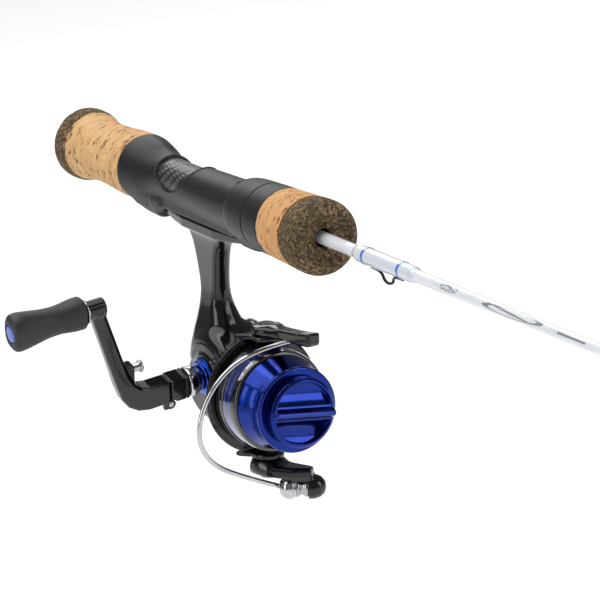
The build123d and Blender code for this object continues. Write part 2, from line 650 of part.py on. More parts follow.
save("rotor", ROTOR * rotor())
hexagon = Plane.YZ * RegularPolygon(3.9, 6)
save("rotor_nut", REEL * (along_x(hexagon, 18.65, 21.2) - cyl_x(PINION_RADIUS + 0.01, 17, 25)))
save("bail_pivot_screws", ROTOR * pivot_screws())
bail_wire = REEL * wire(BAIL_ROUTE, BAIL_WIRE_RADIUS)
wire_hole = REEL * wire(BAIL_ROUTE, BAIL_WIRE_RADIUS + GLUE)
save("bail_wire", bail_wire + ROTOR * wire_cone())
save("bail_lever", ROTOR * bail_lever() - wire_hole)
save("bail_arm", ROTOR * bail_arm())
save("roller_pin", ROTOR * roller_frame() * cyl_x(1.0, 4.42, 11.0))
save("line_roller", ROTOR * line_roller())

save("spool_skirt", REEL * spool_skirt())
save("spool_arbor", REEL * spool_arbor())
washer_bore = SHAFT_RADIUS + RUNNING
felt = [race(10.8, washer_bore, 40.3, 41.2, "x"), race(10.8, washer_bore, 41.9, 42.8, "x")]
save("drag_felts", REEL * Compound(children=felt))
save("drag_washers", REEL * Compound(children=[race(10.8, washer_bore, 41.25, 41.85, "x"),
                                               race(10.8, washer_bore, 42.85, 43.45, "x")]))
save("drag_knob", REEL * drag_knob())

save("crank_collar", CRANK * crank_collar())
save("crank_base", CRANK * crank_base())
save("crank_arm", CRANK * crank_arm())
save("fold_pin", CRANK * cyl_along_x(0.9, -3.3, 3.3))
save("fold_button", CRANK * fold_button())
save("knob_shaft", CRANK * cyl_y(1.9, -84.4, HUB_START - 1.2, 0, ARM_REACH))
save("knob_collar", CRANK * (cyl_y(4.6, KNOB_START + 0.1, HUB_END - 0.1, 0, ARM_REACH)
                             - cyl_y(2.4, -62, -55, 0, ARM_REACH)))
save("knob_grip", CRANK * knob_grip())
save("knob_cap", CRANK * cyl_y(3.25, KNOB_END, -85.05, 0, ARM_REACH))

paddle = plate_xz([(-19, -17.6), (-17.5, -15.35), (-8.8, -15.3), (-8.8, -21.0), (0.5, -21.6), (1.0, -25.4), (-13, -26),
                   (-18.5, -22)], -1.3, 1.3)
lever = paddle + cyl_x(1.6, -9.4, 1.9, 0, -17.2)
save("anti_reverse_lever", REEL * lever)
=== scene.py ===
import math

import bpy
import numpy as np
from mathutils import Matrix, Vector


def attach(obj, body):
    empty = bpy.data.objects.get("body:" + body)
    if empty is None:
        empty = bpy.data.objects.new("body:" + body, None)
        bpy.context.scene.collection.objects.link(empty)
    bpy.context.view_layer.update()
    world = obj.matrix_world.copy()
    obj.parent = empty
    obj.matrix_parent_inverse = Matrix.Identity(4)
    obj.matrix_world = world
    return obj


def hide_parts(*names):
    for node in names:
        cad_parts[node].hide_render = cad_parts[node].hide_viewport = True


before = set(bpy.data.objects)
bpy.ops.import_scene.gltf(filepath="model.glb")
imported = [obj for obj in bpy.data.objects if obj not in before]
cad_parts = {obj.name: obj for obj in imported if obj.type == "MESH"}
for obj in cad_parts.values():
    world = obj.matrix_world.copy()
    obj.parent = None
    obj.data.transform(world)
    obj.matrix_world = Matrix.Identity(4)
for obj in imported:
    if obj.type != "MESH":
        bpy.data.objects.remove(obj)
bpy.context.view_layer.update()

# Ice fishing rod with its spinning reel. Shapes are written in millimetres in the
# same frame as the CAD: X along the rod, Z up, crank on the -Y side.
MM = 0.001
ROTOR_TURN = -8.5
CRANK_RISE = 5.6
CRANK_TURN = 16
CRANK_REACH = 42
STUD_HEIGHT = 12.9
KNOB_TURN = -13.6
TAIL_TURN = 3
ROLLER_TURN = 63.4


def spin(degrees, axis):
    """Turn about the axis of that letter."""
    return Matrix.Rotation(math.radians(degrees), 4, axis)


ROD = Matrix.Identity(4)
REEL = Matrix.Translation((100.0, 0.0, -71.0))
ROTOR = REEL @ spin(ROTOR_TURN, "X")
CRANK = REEL @ Matrix.Translation((0, 0, CRANK_RISE)) @ spin(CRANK_TURN, "Y")


# ---------------------------------------------------------------- meshes
def piece(name, verts, faces, place, mat, body, stands_for=(), normals=None, sharp=35):
    """Make one mesh object from millimetre points, put it in place and give it its body."""
    turn = np.array(place)[:3, :3]
    verts = (np.asarray(verts) @ turn.T + np.array(place)[:3, 3]) * MM
    mesh = bpy.data.meshes.new(name)
    mesh.from_pydata(verts.tolist(), [], [list(f) for f in faces])
    mesh.polygons.foreach_set("use_smooth", [True] * len(mesh.polygons))
    if normals is not None:
        mesh.normals_split_custom_set_from_vertices((normals @ turn.T).tolist())
    else:
        mesh.set_sharp_from_angle(angle=math.radians(sharp))
    mesh.materials.append(mat)
    mesh.update()
    obj = bpy.data.objects.new(name, mesh)
    bpy.context.scene.collection.objects.link(obj)
    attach(obj, body)
    if stands_for:
        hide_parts(*stands_for)
    return obj


def lattice(seed, i, j, k):
    """Repeatable value from 0 to 1 for each whole-number place."""
    h = (i * 374761393 + j * 668265263 + k * 1274126177 + seed * 974634777) & 0xFFFFFFFF
    h = ((h ^ (h >> 13)) * 1103515245) & 0xFFFFFFFF
    return ((h ^ (h >> 16)) & 0xFFFF) / 65535.0


def noise(p, scale, seed=1):
    """Smooth value noise from 0 to 1 at points p, with a scale for each axis."""
    q = p * np.asarray(scale)
    whole = np.floor(q).astype(np.int64)
    f = q - whole
    f = f * f * (3 - 2 * f)
    total = 0
    for a in (0, 1):
        for b in (0, 1):
            for c in (0, 1):
                share = np.abs(1 - a - f[:, 0]) * np.abs(1 - b - f[:, 1]) * np.abs(1 - c - f[:, 2])
                total = total + share * lattice(seed, whole[:, 0] + a, whole[:, 1] + b, whole[:, 2] + c)
    return total


def rounded(points, radius, steps=4, closed=True):
    """Outline with each corner turned into a small curve."""
    pts = [np.array(p, float) for p in points]
    out = []
    for i, p in enumerate(pts):
        if not closed and i in (0, len(pts) - 1):
            out.append(p)
            continue
        before, after = pts[i - 1], pts[(i + 1) % len(pts)]
        ins, outs = before - p, after - p
        cut = min(radius, 0.45 * np.linalg.norm(ins), 0.45 * np.linalg.norm(outs))
        a = p + ins / np.linalg.norm(ins) * cut
        b = p + outs / np.linalg.norm(outs) * cut
        for s in range(steps + 1):
            t = s / steps
            out.append((1 - t) ** 2 * a + 2 * t * (1 - t) * p + t * t * b)
    return out


def divided(points, spacing, closed=False):
    """The same line with more points, no further apart than spacing."""
    pts = list(points) + ([points[0]] if closed else [])
    out = []
    for a, b in zip(pts, pts[1:]):
        a, b = np.array(a, float), np.array(b, float)
        n = max(1, int(math.ceil(np.linalg.norm(b - a) / spacing)))
        out += [a + (b - a) * s / n for s in range(n)]
    return out if closed else out + [np.array(pts[-1], float)]


def flowing(points, n):
    """Catmull-Rom curve through the points."""
    pts = np.array(points, float)
    pts = np.vstack([2 * pts[0] - pts[1], pts, 2 * pts[-1] - pts[-2]])
    out = []
    for i in range(1, len(pts) - 2):
        for s in range(n):
            t = s / n
            a, b, c, d = pts[i - 1:i + 3]
            out.append(0.5 * (2 * b + (c - a) * t + (2 * a - 5 * b + 4 * c - d) * t * t
                              + (3 * b - a - 3 * c + d) * t ** 3))
    return out + [pts[-2]]


def outward(verts, faces):
    """Turn all faces round if the closed mesh is inside out."""
    v = np.asarray(verts)
    first = np.array([f[:3] for f in faces])
    rest = np.array([(f[0], *f[2:4]) for f in faces if len(f) == 4] or [(0, 0, 0)])
    volume = sum(np.einsum("ij,ij->", v[t[:, 0]], np.cross(v[t[:, 1]], v[t[:, 2]])) for t in (first, rest))
    return faces if volume > 0 else [f[::-1] for f in faces]


def lathe(profile, segments=128, closed=True, relief=None):
    """Solid of revolution about X from (x, radius) points."""
    verts, rings = [], []
    for x, r in profile:
        if r < 1e-6:
            rings.append([len(verts)])
            verts.append((x, 0, 0))
            continue
        rings.append(list(range(len(verts), len(verts) + segments)))
        turn = np.arange(segments) * 2 * math.pi / segments
        verts += np.column_stack([np.full(segments, x), r * np.cos(turn), r * np.sin(turn)]).tolist()
    faces = []
    for a, b in zip(rings, rings[1:] + ([rings[0]] if closed else [])):
        for i in range(segments):
            j = (i + 1) % segments
            if len(a) == 1 and len(b) == 1:
                break
            if len(a) == 1:
                faces.append((a[0], b[i], b[j]))
            elif len(b) == 1:
                faces.append((a[i], b[0], a[j]))
            else:
                faces.append((a[i], b[i], b[j], a[j]))
    verts = np.array(verts)
    faces = outward(verts, faces)
    if relief is not None:
        radial = verts * (0, 1, 1)
        length = np.maximum(np.linalg.norm(radial, axis=1, keepdims=True), 1e-6)
        verts = verts + radial / length * relief(verts)[:, None]
    return verts, faces


def turned(name, points, mat, body, stands_for=(), place=ROD, radius=0.3, segments=128, axis="X",
           closed=True):
    """Round part from an (x, radius) outline, not closed if it starts and ends on the axis."""
    if axis == "Y":
        place = place @ spin(90, "Z")
    verts, faces = lathe(rounded(points, radius, closed=closed), segments, closed)
    return piece(name, verts, faces, place, mat, body, stands_for)


def outboard(points):
    """The outline written from the reel outwards, turned to the crank's side."""
    return [(-x, r) for x, r in points]


def controlled(points, steps):
    """Smooth line drawn by its control points, from the first one to the last."""
    pts = [np.array(p, float) for p in points]
    marks = [pts[0]] + [(a + b) / 2 for a, b in zip(pts[1:-2], pts[2:-1])] + [pts[-1]]
    out = []
    for a, p, b in zip(marks, pts[1:-1], marks[1:]):
        out += [(1 - t) ** 2 * a + 2 * t * (1 - t) * p + t * t * b for t in np.arange(steps) / steps]
    return np.array(out + [pts[-1]])


def tube(path, radius, sides=24):
    """Round bar along a line of points, with domed ends; radius may be one number per point."""
    radius = np.broadcast_to(radius, len(path)).astype(float)
    along = np.gradient(path, axis=0)
    along /= np.linalg.norm(along, axis=1, keepdims=True)
    side = np.cross(along[0], (0.3, 0.2, 1.0))
    verts, rings = [], []
    for i, (p, d, r) in enumerate(zip(path, along, radius)):
        side = side - d * np.dot(side, d)
        side /= np.linalg.norm(side)
        up = np.cross(d, side)
        turns = np.arange(sides) * 2 * math.pi / sides
        shape = [(0, r)]
        if i == 0:
            shape = [(-r * math.cos(a), r * math.sin(a)) for a in (0.25, 0.6, 1.0)] + shape
        if i == len(path) - 1:
            shape = shape + [(r * math.cos(a), r * math.sin(a)) for a in (1.0, 0.6, 0.25)]
        for forward, size in shape:
            rings.append(list(range(len(verts), len(verts) + sides)))
            centre = p + d * forward
            verts += (centre + size * (np.outer(np.cos(turns), side) + np.outer(np.sin(turns), up))).tolist()
    faces = [(a[i], b[i], b[(i + 1) % sides], a[(i + 1) % sides])
             for a, b in zip(rings, rings[1:]) for i in range(sides)]
    faces += [tuple(rings[0]), tuple(rings[-1][::-1])]
    return np.array(verts), outward(verts, faces)


# ---------------------------------------------------------------- moulded shapes
# A moulded part is a field: the distance to its surface, below zero inside.
def both(a, b, r):
    """Where both shapes are, with a rounded edge of radius r."""
    return np.minimum(-r, np.maximum(a, b)) + np.hypot(np.maximum(r + a, 0), np.maximum(r + b, 0))


def either(a, b, r):
    """Where either shape is, with a hollow fillet of radius r."""
    return np.maximum(r, np.minimum(a, b)) - np.hypot(np.maximum(r - a, 0), np.maximum(r - b, 0))


def without(a, b, r):
    return both(a, -b, r)


def block(p, low, high, r=0.5):
    low, high = np.array(low, float), np.array(high, float)
    q = np.abs(p - (low + high) / 2) - (high - low) / 2 + r
    return np.linalg.norm(np.maximum(q, 0), axis=1) + np.minimum(q.max(axis=1), 0) - r


def pillar(p, axis, centre, radius, low, high, r=0.4):
    """Cylinder along axis 0, 1 or 2; centre gives its two other coordinates in order."""
    others = [k for k in range(3) if k != axis]
    across = np.hypot(p[:, others[0]] - centre[0], p[:, others[1]] - centre[1]) - radius
    ends = np.abs(p[:, axis] - (low + high) / 2) - (high - low) / 2
    return both(across, ends, r)


def rod_cone(q, a, b, ra, rb):
    """Two rounds and their common tangents, in 2 or 3 dimensions."""
    a, b = np.array(a, float), np.array(b, float)
    length = np.linalg.norm(b - a)
    d = (b - a) / length
    along = (q - a) @ d
    across = np.sqrt(np.maximum(((q - a) ** 2).sum(axis=1) - along ** 2, 0))
    s = (ra - rb) / length
    c = math.sqrt(1 - s * s)
    k = -s * across + c * along
    near_a = np.hypot(across, along) - ra
    near_b = np.hypot(across, along - length) - rb
    return np.where(k < 0, near_a, np.where(k > c * length, near_b, across * c + along * s - ra))


def polygon(q, points):
    """Distance to a flat outline."""
    pts = np.array(points, float)
    best = np.full(len(q), 1e9)
    sign = np.ones(len(q))
    for i in range(len(pts)):
        a, b = pts[i], pts[i - 1]
        e = b - a
        w = q - a
        t = np.clip((w @ e) / (e @ e), 0, 1)
        best = np.minimum(best, ((w - t[:, None] * e) ** 2).sum(axis=1))
        above, below = q[:, 1] >= a[1], q[:, 1] < b[1]
        side = e[0] * w[:, 1] > e[1] * w[:, 0]
        sign = np.where((above & below & side) | (~above & ~below & ~side), -sign, sign)
    return sign * np.sqrt(best)


def spun(p, points, r=0.0):
    """Round about X from an (x, radius) outline."""
    return polygon(np.column_stack([p[:, 0], np.hypot(p[:, 1], p[:, 2])]), points) - r


def measure(points, n=12):
    """Smooth reading of one value along another."""
    line = np.array(flowing(points, n))
    return lambda t: np.interp(t, line[:, 0], line[:, 1])


def slopes(field, p, step):
    """Value and slope of the field at each point, from four readings round it."""
    around = np.array([(1, 1, 1), (1, -1, -1), (-1, 1, -1), (-1, -1, 1)])
    reading = [field(p + step * e) for e in around]
    return sum(reading) / 4, sum(r[:, None] * e for r, e in zip(reading, around)) / (4 * step)


def moulded(field, low, high, cell):
    """Mesh of a field's surface, every point on it, with its true normals."""
    low, high = np.array(low, float), np.array(high, float)
    count = np.ceil((high - low) / cell).astype(int) + 1
    axes = [low[k] + cell * np.arange(count[k]) for k in range(3)]
    grid = np.stack(np.meshgrid(*axes, indexing="ij"), -1)
    rough = field(grid[::4, ::4, ::4].reshape(-1, 3)).reshape(grid[::4, ::4, ::4].shape[:3])
    nearest = [np.minimum((np.arange(n) + 2) // 4, m - 1) for n, m in zip(count, rough.shape)]
    value = rough[np.ix_(*nearest)].copy()
    close = np.abs(value) < 6.5 * cell
    value[close] = field(grid[close])
    inside = value < 0
    cells = count - 1
    corners = [np.array((i, j, k)) for i in (0, 1) for j in (0, 1) for k in (0, 1)]
    filled = np.zeros(cells, int)
    for c in corners:
        filled += inside[c[0]:c[0] + cells[0], c[1]:c[1] + cells[1], c[2]:c[2] + cells[2]]
    active = (filled > 0) & (filled < 8)
    where = np.argwhere(active)
    index = np.full(cells, -1)
    index[active] = np.arange(len(where))
    spot, hits = np.zeros((len(where), 3)), np.zeros((len(where), 1))
    for c in corners:
        for axis in range(3):
            if c[axis]:
                continue
            other = c + np.eye(3, dtype=int)[axis]
            va, vb = value[tuple((where + c).T)], value[tuple((where + other).T)]
            crossing = (va < 0) != (vb < 0)
            share = np.where(crossing, va / np.where(va == vb, 1, va - vb), 0)
            spot += ((where + c) + share[:, None] * np.eye(3)[axis]) * crossing[:, None]
            hits += crossing[:, None]
    points = low + cell * spot / hits
    faces = []
    for axis in range(3):
        b, c = np.eye(3, dtype=int)[(axis + 1) % 3], np.eye(3, dtype=int)[(axis + 2) % 3]
        first = np.moveaxis(inside, axis, 0)
        found = np.argwhere(np.moveaxis(first[:-1] != first[1:], 0, axis))
        for k in ((axis + 1) % 3, (axis + 2) % 3):
            found = found[(found[:, k] > 0) & (found[:, k] < cells[k])]
        quad = np.column_stack([index[tuple((found - s).T)] for s in (0 * b, b, b + c, c)])
        flip = ~inside[tuple(found.T)]
        quad[flip] = quad[flip][:, ::-1]
        faces.append(quad)
    for _ in range(3):
        off, slope = slopes(field, points, 0.02)
        push = off[:, None] * slope / np.maximum((slope ** 2).sum(axis=1, keepdims=True), 0.05)
        size = np.linalg.norm(push, axis=1, keepdims=True)
        points = points - push * np.minimum(1, 0.6 * cell / np.maximum(size, 1e-9))
    normal = slopes(field, points, 0.04)[1]
    normal /= np.maximum(np.linalg.norm(normal, axis=1, keepdims=True), 1e-9)
    return points, np.vstack(faces).tolist(), normal


def cast(name, field, low, high, cell, mat, body, stands_for=(), place=ROD):
    verts, faces, normals = moulded(field, low, high, cell)
    return piece(name, verts, faces, place, mat, body, stands_for, normals)


# ---------------------------------------------------------------- materials
class Paint:
    """A material's nodes, written as short calls."""

    def __init__(self, name, colour, roughness, metallic=0.0, **more):
        self.mat = bpy.data.materials.new(name)
        self.mat.use_nodes = True
        self.nodes = self.mat.node_tree.nodes
        self.shader = self.nodes["Principled BSDF"]
        self.set("Base Color", (*colour, 1))
        self.set("Roughness", roughness)
        self.set("Metallic", metallic)
        for key, value in more.items():
            self.set(key.replace("_", " "), value)
        self.mat.diffuse_color = (*colour, 1)
        self.where = self.nodes.new("ShaderNodeTexCoord").outputs["Object"]

    def set(self, socket, value):
        self.shader.inputs[socket].default_value = value

    def put(self, source, target):
        self.mat.node_tree.links.new(source, target)

    def node(self, kind, inputs=(), **props):
        node = self.nodes.new("ShaderNode" + kind)
        for key, value in props.items():
            setattr(node, key, value)
        for key, value in dict(inputs).items():
            if isinstance(value, bpy.types.NodeSocket):
                self.put(value, node.inputs[key])
            else:
                node.inputs[key].default_value = value
        return node

    def math(self, operation, a, b=0.0):
        return self.node("Math", {0: a, 1: b}, operation=operation).outputs[0]

    def axes(self, source=None):
        return self.node("SeparateXYZ", {0: source or self.where}).outputs

    def scaled(self, x, y, z):
        return self.node("Mapping", {"Vector": self.where, "Scale": (x, y, z)}).outputs[0]

    def noise(self, scale, detail=4.0, rough=0.5, vector=None, distortion=0.0):
        return self.node("TexNoise", {"Vector": vector or self.where, "Scale": scale, "Detail": detail,
                                      "Roughness": rough, "Distortion": distortion}).outputs[0]

    def cells(self, scale, feature="F1", output="Distance"):
        inputs = {"Vector": self.where, "Scale": scale}
        return self.node("TexVoronoi", inputs, feature=feature).outputs[output]

    def ramp(self, value, *stops, smooth=False):
        node = self.node("ValToRGB", {0: value})
        ramp = node.color_ramp
        ramp.interpolation = "EASE" if smooth else "LINEAR"
        while len(ramp.elements) < len(stops):
            ramp.elements.new(0.5)
        for element, (at, colour) in zip(ramp.elements, stops):
            element.position = at
            element.color = (*colour, 1) if isinstance(colour, tuple) else (colour, colour, colour, 1)
        return node.outputs[0]

    def mix(self, share, a, b):
        node = self.nodes.new("ShaderNodeMix")
        node.data_type = "RGBA"
        for key, value in ((0, share), (6, a), (7, b)):
            if isinstance(value, bpy.types.NodeSocket):
                self.put(value, node.inputs[key])
            elif isinstance(value, tuple):
                node.inputs[key].default_value = (*value, 1)
            else:
                node.inputs[key].default_value = value
        return node.outputs[2]

    def colour(self, source):
        self.put(source, self.shader.inputs["Base Color"])

    def roughness(self, value, low, high):
        out = self.node("MapRange", {"Value": value, "To Min": low, "To Max": high}).outputs[0]
        self.put(out, self.shader.inputs["Roughness"])

    def bump(self, height, depth_mm, strength=1.0):
        inputs = {"Height": height, "Strength": strength, "Distance": depth_mm * MM}
        if self.shader.inputs["Normal"].links:
            inputs["Normal"] = self.shader.inputs["Normal"].links[0].from_socket
        self.put(self.node("Bump", inputs).outputs[0], self.shader.inputs["Normal"])


def burl_cork():
    """Dark composite cork: brown, black and tan granules pressed together."""
    m = Paint("burl_cork", (0.12, 0.08, 0.04), 0.85, Specular_IOR_Level=0.25)
    big = m.cells(1150, output="Color")
    small = m.cells(2300, output="Color")
    pick = m.math("ADD", m.math("MULTIPLY", m.axes(big)[0], 0.6), m.math("MULTIPLY", m.axes(small)[1], 0.4))
    base = m.ramp(pick, (0.15, (0.028, 0.018, 0.010)), (0.36, (0.070, 0.046, 0.024)),
                  (0.54, (0.125, 0.084, 0.044)), (0.70, (0.20, 0.138, 0.072)), (0.9, (0.36, 0.25, 0.13)))
    patch = m.ramp(m.noise(160, 4, 0.6), (0.35, 0.0), (0.7, 0.55), smooth=True)
    base = m.mix(patch, base, (0.06, 0.042, 0.022))
    grain = m.noise(2600, 3, 0.7)
    m.colour(m.mix(m.ramp(grain, (0.5, 0.0), (0.78, 0.6)), base, (0.03, 0.02, 0.01)))
    m.roughness(grain, 0.75, 0.98)
    m.bump(m.cells(1150, feature="SMOOTH_F1"), 0.4, 0.7)
    m.bump(grain, 0.25, 0.8)
    return m.mat


def cork(name, light, dark):
    """Natural cork: warm tan with growth shading and long dark pores round the grip."""
    m = Paint(name, light, 0.72, Specular_IOR_Level=0.3)
    broad = m.noise(120, 4, 0.6, m.scaled(1.6, 1, 1))
    base = m.mix(m.ramp(broad, (0.3, 0.0), (0.72, 1.0), smooth=True), light, dark)
    grain = m.noise(1400, 5, 0.7, m.scaled(2.2, 1, 1))
    base = m.mix(m.ramp(grain, (0.4, 0.0), (0.8, 0.45)), base, (0.36, 0.18, 0.07))
    pores = m.noise(210, 5, 0.62, m.scaled(3.2, 1, 1), 0.9)
    pits = m.ramp(pores, (0.585, 0.0), (0.63, 1.0))
    specks = m.ramp(m.noise(900, 3, 0.6, m.scaled(2.4, 1, 1)), (0.66, 0.0), (0.72, 0.8))
    hollow = m.math("MAXIMUM", pits, specks)
    m.colour(m.mix(hollow, base, (0.13, 0.06, 0.022)))
    m.roughness(grain, 0.6, 0.9)
    m.bump(m.math("SUBTRACT", 1.0, hollow), 0.45, 0.7)
    m.bump(grain, 0.12, 0.6)
    return m.mat


def soft_black():
    """Matte black soft-touch coating."""
    m = Paint("soft_black", (0.010, 0.010, 0.011), 0.42, Specular_IOR_Level=0.3)
    cloud = m.noise(60, 4, 0.6)
    m.colour(m.ramp(cloud, (0.3, (0.006, 0.006, 0.0068)), (0.7, (0.0105, 0.0105, 0.0112))))
    m.roughness(m.noise(240, 5, 0.7), 0.36, 0.50)
    m.bump(m.noise(5200, 2, 0.5), 0.03, 0.35)
    return m.mat


def carbon_weave():
    """Two-by-two twill of flat black tows, with a painted highlight where each warp tow rises to its crown."""
    m = Paint("carbon_weave", (0.02, 0.02, 0.021), 0.35, Coat_Weight=0.25, Coat_Roughness=0.15)
    x, y, z = m.axes()[:3]
    turn = m.math("ARCTAN2", y, z)
    u = m.math("MULTIPLY", x, 1 / 0.00115)
    v = m.math("MULTIPLY", turn, 7.2 / 1.15)
    iu, iv = m.math("FLOOR", u), m.math("FLOOR", v)
    step = m.math("FLOORED_MODULO", m.math("SUBTRACT", iu, iv), 4.0)
    warp = m.math("LESS_THAN", step, 1.5)
    fu, fv = m.math("FRACT", u), m.math("FRACT", v)
    weft = m.math("SUBTRACT", 1.0, warp)
    across = m.math("ADD", m.math("MULTIPLY", warp, fv), m.math("MULTIPLY", weft, fu))
    crown = m.math("SINE", m.math("MULTIPLY", across, math.pi))
    threads = m.noise(900, 3, 0.6, m.scaled(3, 3, 3))
    # painted highlight: warp tows are coloured paler toward their crown, in place of light catching the raised
    # weave
    light = m.math("MULTIPLY", warp, m.math("POWER", crown, 1.6))
    tone = m.mix(light, (0.005, 0.005, 0.006), (0.085, 0.09, 0.10))
    m.colour(m.mix(m.ramp(threads, (0.4, 0.0), (0.7, 0.5)), tone, (0.01, 0.01, 0.011)))
    m.roughness(threads, 0.3, 0.5)
    m.bump(crown, 0.16, 0.7)
    return m.mat


def white_gloss():
    """Off-white lacquered blank with a leaf outline, a broken badge and dashes."""
    m = Paint("white_gloss", (0.62, 0.64, 0.67), 0.18, Coat_Weight=0.7, Coat_Roughness=0.06)
    x, y, z = m.axes()[:3]
    towards = m.math("ADD", m.math("MULTIPLY", y, -0.82), m.math("MULTIPLY", z, 0.57))
    facing = m.math("GREATER_THAN", towards, 0.0)
    v = m.math("ADD", m.math("MULTIPLY", y, 0.57), m.math("MULTIPLY", z, 0.82))

    def leaf(centre, half_length, half_height, lean):
        along = m.math("DIVIDE", m.math("SUBTRACT", x, centre), half_length)
        up = m.math("DIVIDE", m.math("SUBTRACT", v, m.math("MULTIPLY", along, lean)), half_height)
        return m.math("ADD", m.math("POWER", m.math("ABSOLUTE", along), 2.0),
                      m.math("POWER", m.math("ABSOLUTE", up), 2.0))

    ring = leaf(0.302, 0.017, 0.0013, 0.0004)
    outline = m.math("MULTIPLY", m.math("GREATER_THAN", ring, 0.62), m.math("LESS_THAN", ring, 1.0))
    slash = m.math("LESS_THAN", leaf(0.300, 0.013, 0.00028, -0.0007), 1.0)
    badge = m.math("LESS_THAN", leaf(0.2655, 0.0052, 0.00125, 0.0002), 1.0)
    broken = m.math("MULTIPLY", badge, m.math("GREATER_THAN", m.noise(1500, 2, 0.5), 0.5))
    dash = m.math("MULTIPLY", m.math("LESS_THAN", m.math("ABSOLUTE", m.math("SUBTRACT", x, 0.3345)), 0.0075),
                  m.math("LESS_THAN", m.math("ABSOLUTE", v), 0.00035))
    marks = m.math("MAXIMUM", m.math("MAXIMUM", outline, slash), m.math("MAXIMUM", broken, dash))
    cloud = m.noise(90, 3, 0.5)
    base = m.ramp(cloud, (0.3, (0.60, 0.62, 0.65)), (0.7, (0.67, 0.685, 0.71)))
    m.colour(m.mix(m.math("MULTIPLY", marks, m.math("MULTIPLY", facing, 0.85)), base, (0.12, 0.13, 0.16)))
    m.roughness(m.noise(400, 3, 0.6), 0.14, 0.26)
    m.bump(m.noise(700, 2, 0.5), 0.02, 0.25)
    return m.mat


def lacquer(name, colour, roughness=0.08, wobble=0.05):
    """Thread wrap under clear epoxy: fine rings of thread with an uneven wet coat."""
    m = Paint(name, colour, roughness, Coat_Weight=1.0, Coat_Roughness=0.03)
    threads = m.node("TexWave", {"Vector": m.where, "Scale": 1500.0, "Distortion": 0.4}, wave_type="BANDS",
                     bands_direction="X").outputs[1]
    m.colour(m.mix(m.ramp(threads, (0.0, 0.0), (1.0, 0.35)), colour, tuple(c * 0.72 for c in colour)))
    m.roughness(m.noise(260, 3, 0.6), roughness, roughness + 0.1)
    m.bump(threads, 0.012, 0.3)
    m.bump(m.noise(240, 2, 0.5), wobble, 0.4)
    return m.mat


def moulding(name, colour, roughness, coat=0.0, grain=0.02, spread=0.25):
    """Moulded plastic or rubber with cloudy tone, uneven gloss and a fine skin."""
    m = Paint(name, colour, roughness, Coat_Weight=coat, Coat_Roughness=0.02)
    cloud = m.noise(70, 4, 0.6)
    low, high = tuple(c * (1 - spread) for c in colour), tuple(c * (1 + spread) for c in colour)
    m.colour(m.ramp(cloud, (0.3, low), (0.7, high)))
    m.roughness(m.noise(180, 5, 0.65), roughness * 0.75, roughness * 1.35 + 0.02)
    m.bump(m.noise(2800, 2, 0.5), grain, 0.25)
    return m.mat


def metal(name, colour, roughness, rings=None, grain=0.02, coat=0.0):
    """Turned or polished metal: tone clouds, uneven polish, fine lathe lines where rings is an axis."""
    m = Paint(name, colour, roughness, 1.0, Coat_Weight=coat, Coat_Roughness=0.05)
    cloud = m.noise(110, 5, 0.6)
    low, high = tuple(c * 0.82 for c in colour), tuple(min(1.0, c * 1.1) for c in colour)
    m.colour(m.ramp(cloud, (0.3, low), (0.7, high)))
    m.roughness(m.noise(320, 5, 0.7), roughness * 0.7, roughness * 1.5 + 0.02)
    if rings:
        lines = m.node("TexWave", {"Vector": m.where, "Scale": 2600.0, "Distortion": 1.5, "Detail": 2.0},
                       wave_type="BANDS", bands_direction=rings).outputs[1]
        m.bump(lines, 0.006, 0.25)
    m.bump(m.noise(1900, 3, 0.5), grain, 0.2)
    return m.mat


def spool_black():
    """Gloss black spool skirt with a blue band, a plain wave mark and two pale dashes at its front."""
    m = Paint("spool_black", (0.006, 0.006, 0.008), 0.1, Coat_Weight=1.0, Coat_Roughness=0.03)
    x, y, z = m.axes()[:3]
    turn = m.math("ARCTAN2", y, m.math("ADD", z, 0.071))

    def strip(source, centre, half):
        return m.math("LESS_THAN", m.math("ABSOLUTE", m.math("SUBTRACT", source, centre)), half)

    band = strip(x, 0.1266, 0.0026)
    lines = m.math("MULTIPLY", strip(m.math("ABSOLUTE", m.math("SUBTRACT", x, 0.1266)), 0.0014, 0.00012),
                   strip(turn, -1.35, 0.62))
    dashes = m.math("MULTIPLY", strip(x, 0.1303, 0.00055),
                    m.math("ADD", strip(turn, -0.78, 0.085), strip(turn, -0.52, 0.085)))
    blue = m.ramp(m.noise(95, 3, 0.5), (0.35, (0.004, 0.005, 0.07)), (0.65, (0.010, 0.018, 0.20)))
    tone = m.mix(band, (0.005, 0.005, 0.006), blue)
    tone = m.mix(lines, tone, (0.12, 0.15, 0.36))
    m.colour(m.mix(dashes, tone, (0.45, 0.46, 0.48)))
    m.roughness(m.noise(200, 4, 0.6), 0.06, 0.16)
    m.bump(m.noise(700, 2, 0.5), 0.01, 0.2)
    return m.mat


BURL = burl_cork()
CORK_REAR = cork("cork_rear", (0.66, 0.42, 0.20), (0.56, 0.33, 0.145))
CORK_FORE = cork("cork_fore", (0.62, 0.35, 0.155), (0.53, 0.27, 0.105))
SOFT_BLACK = soft_black()
WEAVE = carbon_weave()
WHITE = white_gloss()
WRAP_WHITE = lacquer("white_epoxy", (0.60, 0.63, 0.68))
WRAP_BLUE = lacquer("trim_blue", (0.03, 0.17, 0.55))
WIRE_BLACK = metal("black_wire", (0.03, 0.03, 0.033), 0.3)
CERAMIC = moulding("ceramic_ring", (0.05, 0.05, 0.055), 0.12, 0.6)
GLOSS = moulding("gloss_black", (0.004, 0.004, 0.0045), 0.1, 0.0, 0.006)
STEEL = metal("steel", (0.42, 0.42, 0.43), 0.22)
ANODISED = metal("anodised_blue", (0.0015, 0.018, 0.20), 0.16, "X", coat=0.35)
LIP_BLUE = metal("anodised_lip", (0.003, 0.05, 0.42), 0.14, "X", coat=0.35)
BLUE = moulding("blue_plastic", (0.008, 0.05, 0.42), 0.22, 0.3)
CHROME = metal("chrome", (0.50, 0.50, 0.51), 0.09, None, 0.006)
